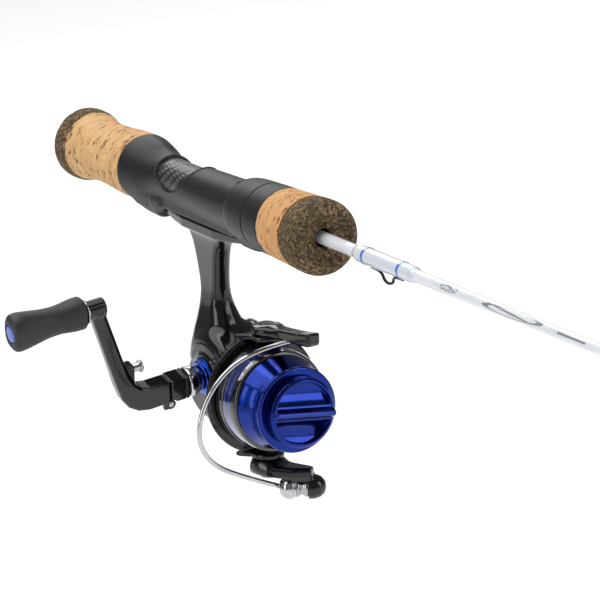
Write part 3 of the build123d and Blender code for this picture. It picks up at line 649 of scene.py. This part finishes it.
ZINC = metal("zinc_gear", (0.42, 0.43, 0.45), 0.42)
BRASS = metal("brass", (0.72, 0.50, 0.20), 0.28)
FELT = moulding("felt", (0.06, 0.055, 0.05), 0.95, 0.0, 0.12)
RUBBER = moulding("soft_rubber", (0.011, 0.011, 0.012), 0.52, 0.0, 0.03)
SKIRT = spool_black()

FINISH = {"burl_cork": BURL, "cork": CORK_REAR, "soft_black": SOFT_BLACK, "carbon_weave": WEAVE,
          "white_gloss": WHITE, "white_epoxy": WRAP_WHITE, "trim_blue": WRAP_BLUE, "black_wire": WIRE_BLACK,
          "ceramic_ring": CERAMIC, "gloss_black": GLOSS, "steel": STEEL, "anodised_blue": ANODISED,
          "blue_plastic": BLUE, "chrome": CHROME, "zinc_gear": ZINC, "brass": BRASS, "felt": FELT,
          "soft_rubber": RUBBER}


def finish_frame():
    """Every CAD node takes the finish of its own material slot."""
    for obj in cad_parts.values():
        for spot in obj.material_slots:
            name = spot.material.name.split(".")[0] if spot.material else ""
            spot.material = FINISH.get(name, FINISH["steel"])


# ---------------------------------------------------------------- handle
REAR_BORE = 2.3
FORE_BORE = 8.25


def cork_relief(depth, coarse, seed, stretch=3.0):
    """Pores pressed into a grip: long across the rod for cork, round for burl."""
    def relief(p):
        pores = noise(p, (coarse * stretch, coarse, coarse), seed)
        fine = noise(p, (coarse * stretch * 2.3, coarse * 2.3, coarse * 2.3), seed + 1)
        return -depth * np.clip((0.65 * pores + 0.35 * fine - 0.60) * 7, 0, 1) + 0.03 * (fine - 0.5)
    return relief


def grip(name, curve, bore, mat, body, node, relief, edge=0.35):
    """Turned grip ring: a smooth outer curve over a bore, pitted by its relief."""
    outer = flowing(curve, 10)
    outline = [np.array((curve[0][0], bore)), *outer, np.array((curve[-1][0], bore))]
    first = rounded([outline[0], outline[1], outline[2]], edge, 4, closed=False)
    last = rounded([outline[-3], outline[-2], outline[-1]], edge, 4, closed=False)
    profile = divided(first[:-1] + outline[2:-2] + last[1:], 0.3)
    verts, faces = lathe(profile, 256, closed=True, relief=relief)
    return piece(name, verts, faces, ROD, mat, body, (node,), sharp=180)


def handle_grips():
    burl = cork_relief(0.22, 0.8, 5, 1.2)
    edge = rounded([(0, 6), (0, 13.45), (6, 13.45), (9, 12.75)], 3.0, 8, closed=False)
    butt = divided([(0, 0), *edge, (9, 0)], 0.3)
    verts, faces = lathe(butt, 256, closed=False, relief=burl)
    piece("butt_burl", verts, faces, ROD, BURL, "root", ("butt_cap",), sharp=180)
    rear_a = [(9, 12.72), (11, 12.2), (13.5, 11.82), (19, 11.3), (24, 11.22), (28, 11.3)]
    grip("rear_cork_a", rear_a, REAR_BORE, CORK_REAR, "root", "rear_cork_ring_1", cork_relief(0.3, 0.42, 2))
    rear_b = [(28, 11.32), (32, 11.45), (36, 11.7), (44, 12.12), (52, 12.15)]
    grip("rear_cork_b", rear_b, REAR_BORE, CORK_REAR, "root", "rear_cork_ring_2", cork_relief(0.3, 0.42, 3))
    fore = [(158, 12.2), (164, 12.42), (170, 12.62), (174.5, 12.78)]
    grip("fore_cork", fore, FORE_BORE, CORK_FORE, "fore_grip", "fore_cork_ring", cork_relief(0.28, 0.42, 7))
    front = [(174.5, 6.95), (174.5, 12.85), (180, 13.0), (182.0, 13.0), (184.5, 12.2), (186, 9.6), (186, 8.9),
             (185.2, 8.2), (184.0, 6.4), (183.4, 3.2), (180.5, 3.2), (180.5, 6.95)]
    verts, faces = lathe(divided(rounded(front, 1.6, 5), 0.3, closed=True), 256, relief=burl)
    piece("fore_burl", verts, faces, ROD, BURL, "fore_grip", ("fore_burl_ring",), sharp=180)


SEAT_CURVE = measure([(50, 12.25), (52, 12.2), (55, 11.75), (61, 10.5), (67, 8.85), (73, 8.05), (85, 7.95),
                      (95, 8.2), (110, 8.6), (131, 9.05)])
HOOD_CURVE = measure([(129, 9.6), (131, 10.35), (132, 10.8), (135, 11.4), (141, 11.75), (149, 12.0)])
WINDOW_LINE = flowing([(72.6, 9.5), (73.4, 5.0), (76.5, 1.0), (82.0, -1.3), (88.5, -0.4), (94.5, 3.6),
                       (99.8, 9.5)], 3)


def foot(p):
    """Reel foot, in the rod's frame."""
    side = polygon(p[:, [0, 2]], [(66, -9.6), (139, -9.6), (139, -10.8), (120, -13.2), (112, -13.6), (88, -13.6),
                                  (80, -13.2), (66, -10.8)])
    plan = polygon(p[:, [0, 1]], [(66, -3), (68, -4.3), (88, -6.6), (112, -6.6), (137, -4.3), (139, -3), (139, 3),
                                  (137, 4.3), (112, 6.6), (88, 6.6), (68, 4.3), (66, 3)])
    return both(side, plan, 0.7)


def window(p):
    return polygon(p[:, [0, 2]], WINDOW_LINE + [np.array((99.8, 16)), np.array((72.6, 16))])


def seat(p):
    r = np.hypot(p[:, 1], p[:, 2])
    shell = both(r - SEAT_CURVE(p[:, 0]), np.abs(p[:, 0] - 90.75) - 38.75, 0.7)
    shell = either(shell, block(p, (67, -6.9, -9.3), (129.5, 6.9, 0), 0.9), 1.2)
    hump = polygon(p[:, [0, 2]], [(53.2, -6), (53.6, -11.5), (60, -13.8), (66, -15.3), (69, -15.3), (70.2, -12.4),
                                  (74, -8), (74, -6)])
    across = block(p * (0, 1, 1), (-1, -7.3, -15.3), (1, 7.3, 4.6), 0.9)
    round_side = np.hypot(np.maximum(np.abs(p[:, 1]) - 1.9, 0), np.maximum(-p[:, 2] - 9.9, 0)) - 5.4
    shell = either(shell, both(hump, np.maximum(across, round_side), 1.4), 2.6)
    cut = without(shell, foot(p) - 0.1, 0.25)
    cut = without(cut, block(p, (126.8, -1.5, 6.5), (132, 1.5, 12), 0.3), 0.2)
    opening = window(p)
    rim = np.hypot(opening, r - SEAT_CURVE(p[:, 0]) + 0.05) - 0.42
    cut = either(cut, rim, 0.3)
    return without(cut, both(opening + 0.35, 6.45 - r, 0.1), 0.2)


def weave_panel(p):
    r = np.hypot(p[:, 1], p[:, 2])
    return both(both(r - 7.25, 6.5 - r, 0.1), window(p) + 0.2, 0.2)


def hood(p):
    r = np.hypot(p[:, 1], p[:, 2])
    ring = both(r - HOOD_CURVE(p[:, 0]), np.abs(p[:, 0] - 138.85) - 7.85, 0.6)
    side = polygon(p[:, [0, 2]], [(131.05, 2), (131.05, -12.4), (132.4, -13.3), (138, -13.2), (144.6, -11.2),
                                  (144.6, 2)])
    width = np.hypot(np.maximum(np.abs(p[:, 1]) - 1.8, 0), np.maximum(-p[:, 2] - 8.8, 0)) - 4.5
    ring = either(ring, both(side, width, 1.0), 2.0)
    ring = without(ring, foot(p) - 0.3, 0.25)
    return without(ring, r - 6.46, 0.3)


def seat_parts():
    cast("seat_shell", seat, (51, -13.5, -16.6), (131, 13.5, 13.5), 0.36, SOFT_BLACK, "root", ("reel_seat",))
    cast("seat_weave", weave_panel, (71.5, -8.5, -2.5), (101, 8.5, 8.5), 0.22, WEAVE, "root", ("window_insert",))
    cast("sliding_hood", hood, (130, -13, -14.6), (148, 13, 13), 0.3, SOFT_BLACK, "moving_hood", ("moving_hood",))
    nut = [(147, 6.5), (147, 11.6), (147.4, 11.98), (150, 12.05), (157.6, 12.2), (158, 12.0), (158, 8.2),
           (173, 8.2), (173, 6.5)]
    turned("grip_nut", nut, SOFT_BLACK, "fore_grip", ("foregrip_nut",), ROD, 0.35, 160)


# ---------------------------------------------------------------- rod
def blank_radius(x):
    return 2.25 if x <= 190 else 2.25 + (x - 190) / (709 - 190) * (0.6 - 2.25)


def rod_parts():
    stations = [4, 190] + list(range(200, 710, 10)) + [709]
    profile = [(4, 0), (4, 2.25)] + [(x, blank_radius(x)) for x in stations[1:]] + [(709, 0)]
    verts, faces = lathe(divided(profile, 6), 48, closed=False)
    piece("blank", verts, faces, ROD, WHITE, "root", ("rod_blank",), sharp=60)
    wrap = [(205.5, blank_radius(205.5) + 0.02), (207.5, blank_radius(207) + 0.5), (209.5, blank_radius(209) + 0.7),
            (226, blank_radius(226) + 0.74), (240.5, blank_radius(240) + 0.7), (242.4, blank_radius(242) + 0.48),
            (244, blank_radius(244) + 0.02)]
    profile = flowing(wrap, 8) + [np.array((244, 1.6)), np.array((205.5, 1.6))]
    verts, faces = lathe(profile, 64)
    piece("keeper_epoxy", verts, faces, ROD, WRAP_WHITE, "root", ("keeper_wrap",), sharp=60)
    route = [(214, 0, -3.4), (218.4, 0, -3.4), (220.6, 0, -4.4), (221.2, 0, -6.1), (223.6, 0, -7.0),
             (226.9, 0, -6.1), (227.6, 0, -4.4), (229.4, 0, -3.4), (234, 0, -3.4)]
    verts, faces = tube(controlled(route, 10), 0.5, 16)
    piece("keeper_wire", verts, faces, ROD, WIRE_BLACK, "root", ("hook_keeper",))


# ---------------------------------------------------------------- reel housing
def case_outline(p):
    """Side view of the gear case: three rounds and what lies between them."""
    q = p[:, [0, 2]]
    a, b, c = (0, CRANK_RISE), (-10.5, -2.885), (3, -4)
    d = np.minimum(rod_cone(q, b, c, 11.7, 12.0), rod_cone(q, a, c, 15.0, 12.0))
    d = np.minimum(rod_cone(q, a, b, 15.0, 11.7), d)
    return np.minimum(d, polygon(q, [a, b, c]))


STEM_REAR = measure([(8, -18.2), (15, -17.2), (23, -15.2), (30, -13.6), (38, -12.9), (51.4, -13.4),
                     (57.6, -15.5), (62, -18)])
STEM_FRONT = measure([(8, 11), (15, 9.0), (23, 4.5), (30, 1.0), (38, 1.8), (51.4, 7.2), (57.6, 15), (62, 22)])
STEM_HALF = measure([(8, 9.4), (15, 8.9), (19, 7.8), (24, 5.9), (31, 4.15), (38, 3.45), (51.4, 3.7),
                     (57.6, 4.7), (62, 5.5)])
STEM_SHIFT = measure([(8, -1.5), (15, -1.3), (19, -1.2), (24, -0.8), (31, -0.2), (38, 0), (62, 0)])


def stem(p):
    """Stem between foot and case: oval sections."""
    z = p[:, 2]
    rear, front, half = STEM_REAR(z), STEM_FRONT(z), STEM_HALF(z)
    middle, reach = (rear + front) / 2, (front - rear) / 2
    corner = np.minimum(reach, half) * 0.92
    qx = np.abs(p[:, 0] - middle) - reach + corner
    qy = np.abs(p[:, 1] - STEM_SHIFT(z)) - half + corner
    oval = np.hypot(np.maximum(qx, 0), np.maximum(qy, 0)) + np.minimum(np.maximum(qx, qy), 0) - corner
    return both(oval, np.abs(z - 34) - 24, 0.5)


def reel_case(p):
    case = case_outline(p)
    case = both(case, -10.5 - p[:, 1], 3.6)
    case = both(case, p[:, 1] - 8.95, 0.3)
    face = both(case_outline(p) + 3.6, np.abs(p[:, 1] + 10.6) - 0.35, 0.2)
    case = either(case, face, 0.5)
    shaped = either(case, stem(p), 3.0)
    shaped = either(shaped, foot(p + (100, 0, -71)), 2.2)
    shaped = either(shaped, pillar(p, 0, (0, 0), 6.0, 10, 16.4, 0.6), 1.4)
    shaped = either(shaped, pillar(p, 1, (0, CRANK_RISE), 8.0, -12.3, -8, 0.7), 1.3)
    return either(shaped, pillar(p, 0, (0, -17.2), 3.0, -8.5, 2.0, 0.6), 1.6)


def case_cover(p):
    d = both(case_outline(p) + 0.1, np.abs(p[:, 1] - 9.8) - 0.8, 0.7)
    groove = both(np.abs(case_outline(p) + 2.3) - 0.4, np.abs(p[:, 1] - 10.7) - 0.4, 0.15)
    d = without(d, groove, 0.25)
    for x, z in ((-19.3, 2.2), (6.6, -13.6), (6.0, 17.2)):
        d = without(d, pillar(p, 1, (x, z), 1.6, 10.0, 12, 0.1), 0.15)
    return d


def housing_parts():
    cast("reel_case", reel_case, (-36, -13.4, -22), (40.5, 10, 62.6), 0.42, GLOSS, "root", ("reel_body",), REEL)
    cast("reel_cover", case_cover, (-23.4, 8.3, -17.5), (16, 11, 21.5), 0.34, GLOSS, "root", ("side_cover",), REEL)
    ring = [(12.35, 3.2), (12.35, 6.6), (12.6, 7.0), (13.1, 7.0), (13.35, 6.3), (13.6, 6.1), (14.4, 6.1),
            (14.7, 5.7), (14.7, 3.2)]
    turned("boss_rings", outboard(ring), LIP_BLUE, "root", ("handle_boss_ring",), CRANK, 0.2,
           axis="Y")
    cap = [(10.65, 0), (10.65, 11.2), (11.4, 11.2), (11.95, 10.7), (11.95, 9.2), (11.6, 8.9), (11.6, 6.6),
           (11.95, 6.2), (12.0, 5.0), (13.2, 4.9), (13.6, 4.3), (13.6, 3.0), (13.2, 2.6), (13.2, 0)]
    turned("side_cap", cap, BLUE, "root", ("dust_cap",), CRANK, axis="Y", closed=False)


def reverse_lever(p):
    outline = [(-18.8, -17.6), (-17.5, -15.6), (-9.0, -15.5), (-8.8, -20.8), (0.4, -21.7), (0.9, -25.3),
               (-13, -25.9), (-18.4, -22)]
    d = both(polygon(p[:, [0, 2]], outline), np.abs(p[:, 1]) - 1.3, 0.5)
    return either(d, pillar(p, 0, (0, -17.2), 1.6, -12, 1.9, 0.2), 0.4)


def reverse_lever_part():
    cast("reverse_lever", reverse_lever, (-20, -2, -27), (3, 2, -14), 0.2, BLUE, "anti_reverse_lever",
         ("anti_reverse_lever",), REEL)


# ---------------------------------------------------------------- rotor and bail
def rotor_shape(p):
    r = np.hypot(p[:, 1], p[:, 2])
    cup = spun(p, [(17.2, 2.3), (17.2, 7.2), (16.1, 8.0), (16.1, 18.4), (16.9, 20.8), (17.5, 21.5), (18.1, 21.5),
                   (18.5, 20.6), (18.5, 13.7), (29.7, 13.7), (29.7, 12.4), (18.5, 12.4), (18.5, 2.3)], 0.28)
    for s in (1, -1):
        z = s * p[:, 2]
        q = np.column_stack([p[:, 0], p[:, 1], z])
        slab = both(polygon(q[:, [0, 1]], [(15.9, -9.6), (17.6, -9.0), (20.4, -6.0), (22.3, -5.7), (22.3, 5.7),
                                           (20.4, 6.0), (17.6, 9.0), (15.9, 9.6)]), np.abs(z - 21.3) - 0.9, 0.5)
        slab = np.minimum(slab, pillar(q, 2, (22.3, 0), 5.7, 20.4, 22.2, 0.5))
        cup = either(cup, slab, 1.2)
    return cup


def lever_arm(p):
    hub = pillar(p, 2, (22.3, 0), 5.6, 22.5, 25.6, 1.3)
    turn = math.radians(TAIL_TURN)
    q = np.column_stack([p[:, 0] * math.cos(turn) + p[:, 1] * math.sin(turn),
                         -p[:, 0] * math.sin(turn) + p[:, 1] * math.cos(turn), p[:, 2]])
    side = polygon(q[:, [0, 2]], [(21, 22.7), (36, 22.6), (50.5, 23.8), (52.3, 24.9), (52.3, 28.0), (50.6, 28.6),
                                  (44, 27.6), (38, 26.9), (31, 26.2), (21, 25.2)])
    plan = polygon(q[:, [0, 1]], [(21, -4.4), (33, -3.0), (50.8, -2.8), (52.3, -1.8), (52.3, 1.8), (50.8, 2.8),
                                  (33, 3.0), (21, 4.4)])
    tail = both(side, plan, 1.0)
    tail = either(hub, tail, 2.0)
    dome = np.sqrt((p[:, 0] - 26) ** 2 / 5.5 + p[:, 1] ** 2 / 2.2 + (p[:, 2] - 24.2) ** 2) - 2.5
    tail = either(tail, np.maximum(dome, 22.6 - p[:, 2]), 1.2)
    return without(tail, block(q, (44.2, -4, 27.3), (45.1, 4, 30), 0.1), 0.3)


def roller_place():
    return Matrix.Translation((29.8, 1.6, -32.0)) @ spin(ROLLER_TURN, "Z")


INTO_ROLLER = np.array(roller_place().inverted())


def bottom_arm(p):
    hub = pillar(p, 2, (22.3, 0), 6.2, -27.4, -22.5, 1.6)
    bar = polygon(p[:, :2], [(20.3, -6), (28.3, -4), (35.4, 2.4), (38.0, 8.6), (34.8, 11.4), (28, 8), (21.3, 6)])
    bar = both(bar, np.abs(p[:, 2] + 26.2) - 2.2, 1.6)
    q = p @ INTO_ROLLER[:3, :3].T + INTO_ROLLER[:3, 3]
    d = either(hub, bar, 1.6)
    d = either(d, both(rod_cone(q, (3.4, 0, 2.6), (11, 0, 0.4), 3.2, 4.1), 0.2 - q[:, 0], 0.3), 1.4)
    d = without(d, pillar(q, 0, (0, 0), 4.3, -4, 8.85, 0.2), 0.2)
    return either(d, spun(q, [(9.3, 0), (9.3, 3.9), (11.0, 3.9), (13.0, 3.2), (14.3, 1.9), (14.8, 0)], 0.4), 0.6)


BAIL_ROUTE = [(39.5, 4.0, 23.2), (38.5, -12.5, 24.0), (37.0, -28.0, 15.0), (36.0, -35.8, 0.0),
              (33.6, -31.6, -13.0), (31.6, -18.0, -23.0), (29.5, -3.8, -31.4)]


def rotor_parts():
    cast("rotor_cup", rotor_shape, (15.2, -24.4, -24.4), (31, 24.4, 24.4), 0.36, GLOSS, "rotor", ("rotor",), ROTOR)
    cast("bail_lever_arm", lever_arm, (15.8, -6.5, 21.8), (53.4, 7.5, 29.6), 0.3, GLOSS, "bail", ("bail_lever",),
         ROTOR)
    cast("bail_lower_arm", bottom_arm, (15.4, -7.2, -37.2), (42.5, 20.2, -21.8), 0.3, GLOSS, "bail", ("bail_arm",),
         ROTOR)
    path = controlled(BAIL_ROUTE, 28)
    verts, faces = tube(path, 0.9, 24)
    piece("bail_hoop", verts, faces, REEL, CHROME, "bail", ())
    place = ROTOR @ roller_place()
    cone = [(-1.2, 0), (-1.2, 2.2), (0.4, 3.8), (1.4, 4.2), (3.4, 4.2), (3.7, 3.7), (4.0, 3.7), (4.4, 3.9),
            (4.4, 0)]
    turned("bail_cone", cone, CHROME, "bail", ("bail_wire",), place, 0.4, 64, closed=False)
    roller = [(4.6, 1.1), (4.6, 3.6), (5.4, 3.5), (6.1, 2.9), (6.6, 2.7), (7.1, 2.9), (7.8, 3.5), (8.7, 3.6),
              (8.7, 1.1)]
    turned("bail_roller", roller, STEEL, "line_roller", ("line_roller",), place, 0.3, 64)


# ---------------------------------------------------------------- spool and drag
def knob_face(p):
    r = np.hypot(p[:, 1], p[:, 2])
    ring = spun(p, [(44.8, 10.6), (44.8, 12.0), (45.3, 12.3), (48.3, 12.3), (48.8, 11.6), (48.8, 0), (46.4, 0),
                    (46.4, 10.6)], 0.2)
    for s in (1, -1):
        scoop = np.hypot(p[:, 0] - 52.8, s * p[:, 2] - 7.6) - 6.3
        ring = without(ring, both(scoop, r - 11.0, 0.3), 0.25)
    height = np.interp(np.abs(p[:, 2]), [0, 0.8, 2.4, 3.2], [51.5, 51.0, 48.4, 46.6])
    fin = both(both(p[:, 0] - height, 46.0 - p[:, 0], 0.1), np.abs(p[:, 2]) - 3.0, 0.2) * 0.6
    return either(ring, both(fin, r - 11.6, 0.4), 0.3)


def spool_parts():
    skirt = [(19.2, 17.2), (19.2, 18.8), (19.8, 19.0), (23.2, 18.75), (23.45, 18.5), (23.9, 18.5), (24.1, 18.7),
             (29.6, 18.35), (30.9, 18.15), (31.7, 17.9), (32.0, 17.4), (32.0, 12.6), (30.6, 12.6), (30.6, 16.2),
             (29.6, 17.0)]
    turned("skirt", skirt, SKIRT, "spool", ("spool_skirt",), REEL, 0.3, 192)
    arbor = [(30.6, 1.35), (30.6, 4.0), (35.4, 4.0), (35.4, 10.6), (30.6, 10.6), (30.6, 12.55), (32.0, 12.55),
             (32.05, 17.0), (32.8, 16.7), (34.5, 15.9), (36.6, 15.0), (39.0, 13.8), (40.2, 13.3), (40.7, 13.5),
             (41.1, 14.4), (41.6, 14.7), (42.0, 14.7), (42.5, 14.3),
             (42.9, 15.2), (43.6, 15.4), (44.2, 15.0), (44.3, 14.2), (44.3, 11.2), (40.2, 11.2), (40.2, 1.35)]
    turned("arbor", arbor, ANODISED, "spool", ("spool_arbor",), REEL, 0.3, 192)
    place = REEL @ spin(KNOB_TURN, "X")
    cast("drag_face", knob_face, (43.9, -13.2, -13.2), (52.4, 13.2, 13.2), 0.22, ANODISED, "drag_knob",
         ("drag_knob",), place)


# ---------------------------------------------------------------- crank and knob
def hinge(p, radius):
    """Round about the fold pin, which lies across the crank."""
    return np.hypot(p[:, 1] + 27.75, p[:, 2] + 5.2) - radius


def crank_block(p):
    """Square block with the tongue of the fold hinge under its end."""
    shape = block(p, (-3.9, -27.6, -4.3), (3.9, -20.6, 4.3), 0.5)
    core = block(p, (-3.65, -30, -4.05), (3.65, -10, 4.05), 0.4)
    shape = without(shape, both(np.abs(p[:, 1] + 21.9) - 0.2, -core, 0.1), 0.12)
    side = np.abs(p[:, 0])
    shape = without(shape, both(hinge(p, 2.2), 1.35 - side, 0.1), 0.15)
    tongue = either(hinge(p, 1.85), block(p * (0, 1, 1), (-1, -27.5, -5.2), (1, -24.6, -3), 0.2), 0.2)
    shape = either(shape, both(tongue, side - 1.25, 0.2), 0.2)
    return without(shape, hinge(p, 0.95), 0.1)


def arm_shape(p):
    """Elbow and arm with the knob hub, the stud's knuckle and two lugs on the fold pin."""
    side = [(-27.9, -4.3), (-36, -4.6), (-40.5, -3.9), (-44.0, -1.6), (-46.4, 2.0), (-48.0, 7.0), (-56.4, 38.4),
            (-55.8, 41.2), (-52.8, 41.6), (-51.2, 39.6), (-43.4, 12.0), (-41.4, 7.8), (-38.8, 5.2), (-35.6, 4.3),
            (-27.9, 4.3)]
    half = np.interp(p[:, 2], [-8, 8, 20, 50], [3.4, 3.4, 2.7, 2.6])
    edge = np.interp(-p[:, 1], [36, 44], [0.7, 1.7])
    arm = both(polygon(p[:, [1, 2]], side), np.abs(p[:, 0]) - half, edge)
    arm = both(arm, p[:, 1] + 27.95, 0.2)
    hub = pillar(p, 1, (0, CRANK_REACH), 3.3, -58, -51.2, 0.6)
    arm = either(arm, hub, 1.2)
    knuckle = block(p, (-2.4, -45.5, 7.0), (2.4, -41.2, 15.2), 0.6)
    arm = either(arm, knuckle, 0.5)
    reach = np.abs(p[:, 0])
    lug = either(hinge(p, 1.85), block(p * (0, 1, 1), (-1, -30.4, -6.8), (1, -27.95, -3), 0.2), 0.2)
    arm = either(arm, both(lug, np.abs(reach - 2.4) - 0.95, 0.2), 0.3)
    arm = without(arm, both(hinge(p, 2.2), reach - 1.4, 0.1), 0.15)
    return without(arm, hinge(p, 0.95), 0.1)


KNOB_X = measure([(-88, 4.0), (-86.6, 5.0), (-84, 5.45), (-79, 5.1), (-74, 4.55), (-69, 4.4), (-64, 4.85),
                  (-60.5, 5.0), (-58, 4.6)])
KNOB_Z = measure([(-88, 5.2), (-86.6, 6.2), (-84, 6.85), (-79, 6.1), (-74, 5.25), (-69, 5.05), (-64, 5.65),
                  (-60.5, 5.8), (-58, 5.4)])


def knob_shape(p):
    a, b = KNOB_X(p[:, 1]), KNOB_Z(p[:, 1])
    x, z = np.abs(p[:, 0]) / a, np.abs(p[:, 2] - CRANK_REACH) / b
    oval = ((x ** 2.4 + z ** 2.4 + 1e-9) ** (1 / 2.4) - 1) * np.minimum(a, b)
    grip_part = both(oval, np.abs(p[:, 1] + 73) - 13.95, 1.3)
    return without(grip_part, pillar(p, 1, (0, CRANK_REACH), 3.35, -90, -86.4, 0.1), 0.25)


def crank_parts():
    collar = [(15.1, 2.5), (15.1, 4.5), (17.3, 4.95), (17.6, 5.35), (19.4, 5.6), (20.2, 5.5), (20.5, 5.1),
              (20.5, 2.5)]
    turned("crank_chrome", outboard(collar), CHROME, "crank", ("crank_collar",), CRANK, 0.25, 96, "Y")
    cast("crank_socket", crank_block, (-4.7, -30.3, -7.8), (4.7, -17.8, 5.1), 0.2, GLOSS, "crank",
         ("crank_base",), CRANK)
    cast("crank_handle", arm_shape, (-4.2, -59, -7.8), (4.2, -25.2, 46), 0.25, GLOSS, "crank_arm",
         ("crank_arm",), CRANK)
    stud = [(43.4, 0), (43.4, 1.5), (38.6, 1.5), (38.6, 2.3), (37.9, 2.3), (37.4, 1.9), (37.4, 0)]
    turned("crank_stud", outboard(stud), CHROME, "fold_button", ("fold_button",),
           CRANK @ Matrix.Translation((0, 0, STUD_HEIGHT)), 0.25, 48, "Y", closed=False)
    top = CRANK @ Matrix.Translation((0, 0, CRANK_REACH))
    collar = [(58.1, 2.4), (58.1, 4.3), (58.5, 4.6), (58.9, 4.6), (58.9, 2.4)]
    turned("knob_washer", outboard(collar), CHROME, "crank_arm", ("knob_collar",), top, 0.15, 64, "Y")
    cast("paddle_knob", knob_shape, (-6.6, -87.8, 34.2), (6.6, -58.2, 49.8), 0.3, RUBBER, "knob",
         ("knob_grip",), CRANK)
    cap = [(85.1, 0), (85.1, 3.25), (86.6, 3.25), (86.95, 2.7), (87.0, 0)]
    turned("knob_button", outboard(cap), BLUE, "knob", ("knob_cap",), top, 0.3, 64, "Y",
           closed=False)


# ---------------------------------------------------------------- build
finish_frame()
handle_grips()
seat_parts()
rod_parts()
housing_parts()
reverse_lever_part()
rotor_parts()
spool_parts()
crank_parts()


# ---------------------------------------------------------------- stage, light, camera
def stage():
    m = Paint("floor_pale", (0.90, 0.90, 0.90), 0.9, Specular_IOR_Level=0.1)
    size, height = 12.0, -0.42
    mesh = bpy.data.meshes.new("floor")
    corners = [(-size, -size, height), (size, -size, height), (size, size, height), (-size, size, height)]
    mesh.from_pydata(corners, [], [(0, 1, 2, 3)])
    mesh.materials.append(m.mat)
    floor = bpy.data.objects.new("floor", mesh)
    bpy.context.scene.collection.objects.link(floor)
    world = bpy.data.worlds.new("studio")
    world.use_nodes = True
    background = world.node_tree.nodes["Background"]
    background.inputs[0].default_value = (0.95, 0.97, 1.0, 1)
    background.inputs[1].default_value = 0.2
    bpy.context.scene.world = world
    bpy.context.scene.view_settings.view_transform = "Standard"


def softbox(name, at, aim, size, power):
    data = bpy.data.lights.new(name, "AREA")
    data.shape = "RECTANGLE"
    data.size, data.size_y = size
    data.energy = power
    lamp = bpy.data.objects.new(name, data)
    lamp.location = at
    lamp.rotation_euler = (Vector(aim) - Vector(at)).to_track_quat("-Z", "Y").to_euler()
    bpy.context.scene.collection.objects.link(lamp)


def lights():
    middle = (0.14, 0.0, -0.03)
    sky = bpy.data.lights.new("sky", "SUN")
    sky.energy = 2.3
    sky.angle = math.radians(70)
    lamp = bpy.data.objects.new("sky", sky)
    lamp.rotation_euler = (math.radians(12), math.radians(-14), 0)
    bpy.context.scene.collection.objects.link(lamp)
    softbox("top", (0.1, 0.1, 1.7), middle, (1.6, 0.9), 8)
    softbox("left", (0.2, -1.6, 0.5), middle, (0.7, 1.2), 9)
    softbox("right", (1.4, 0.9, 0.45), middle, (0.6, 1.2), 7)
    softbox("back", (-1.5, 0.6, 1.0), middle, (1.4, 0.8), 10)


def camera():
    data = bpy.data.cameras.new("camera")
    data.sensor_width = 36
    data.lens = 210
    data.clip_start = 0.01
    data.clip_end = 50
    eye = bpy.data.objects.new("camera", data)
    right = Vector((0.48169, 0.86476, -0.14197))
    up = Vector((-0.21160, 0.27198, 0.93875))
    back = right.cross(up)
    turn = Matrix((right, up, back)).transposed().to_4x4()
    eye.matrix_world = Matrix.Translation((1.16451, -0.49919, 0.34420)) @ turn
    bpy.context.scene.collection.objects.link(eye)
    bpy.context.scene.camera = eye


stage()
lights()
camera()
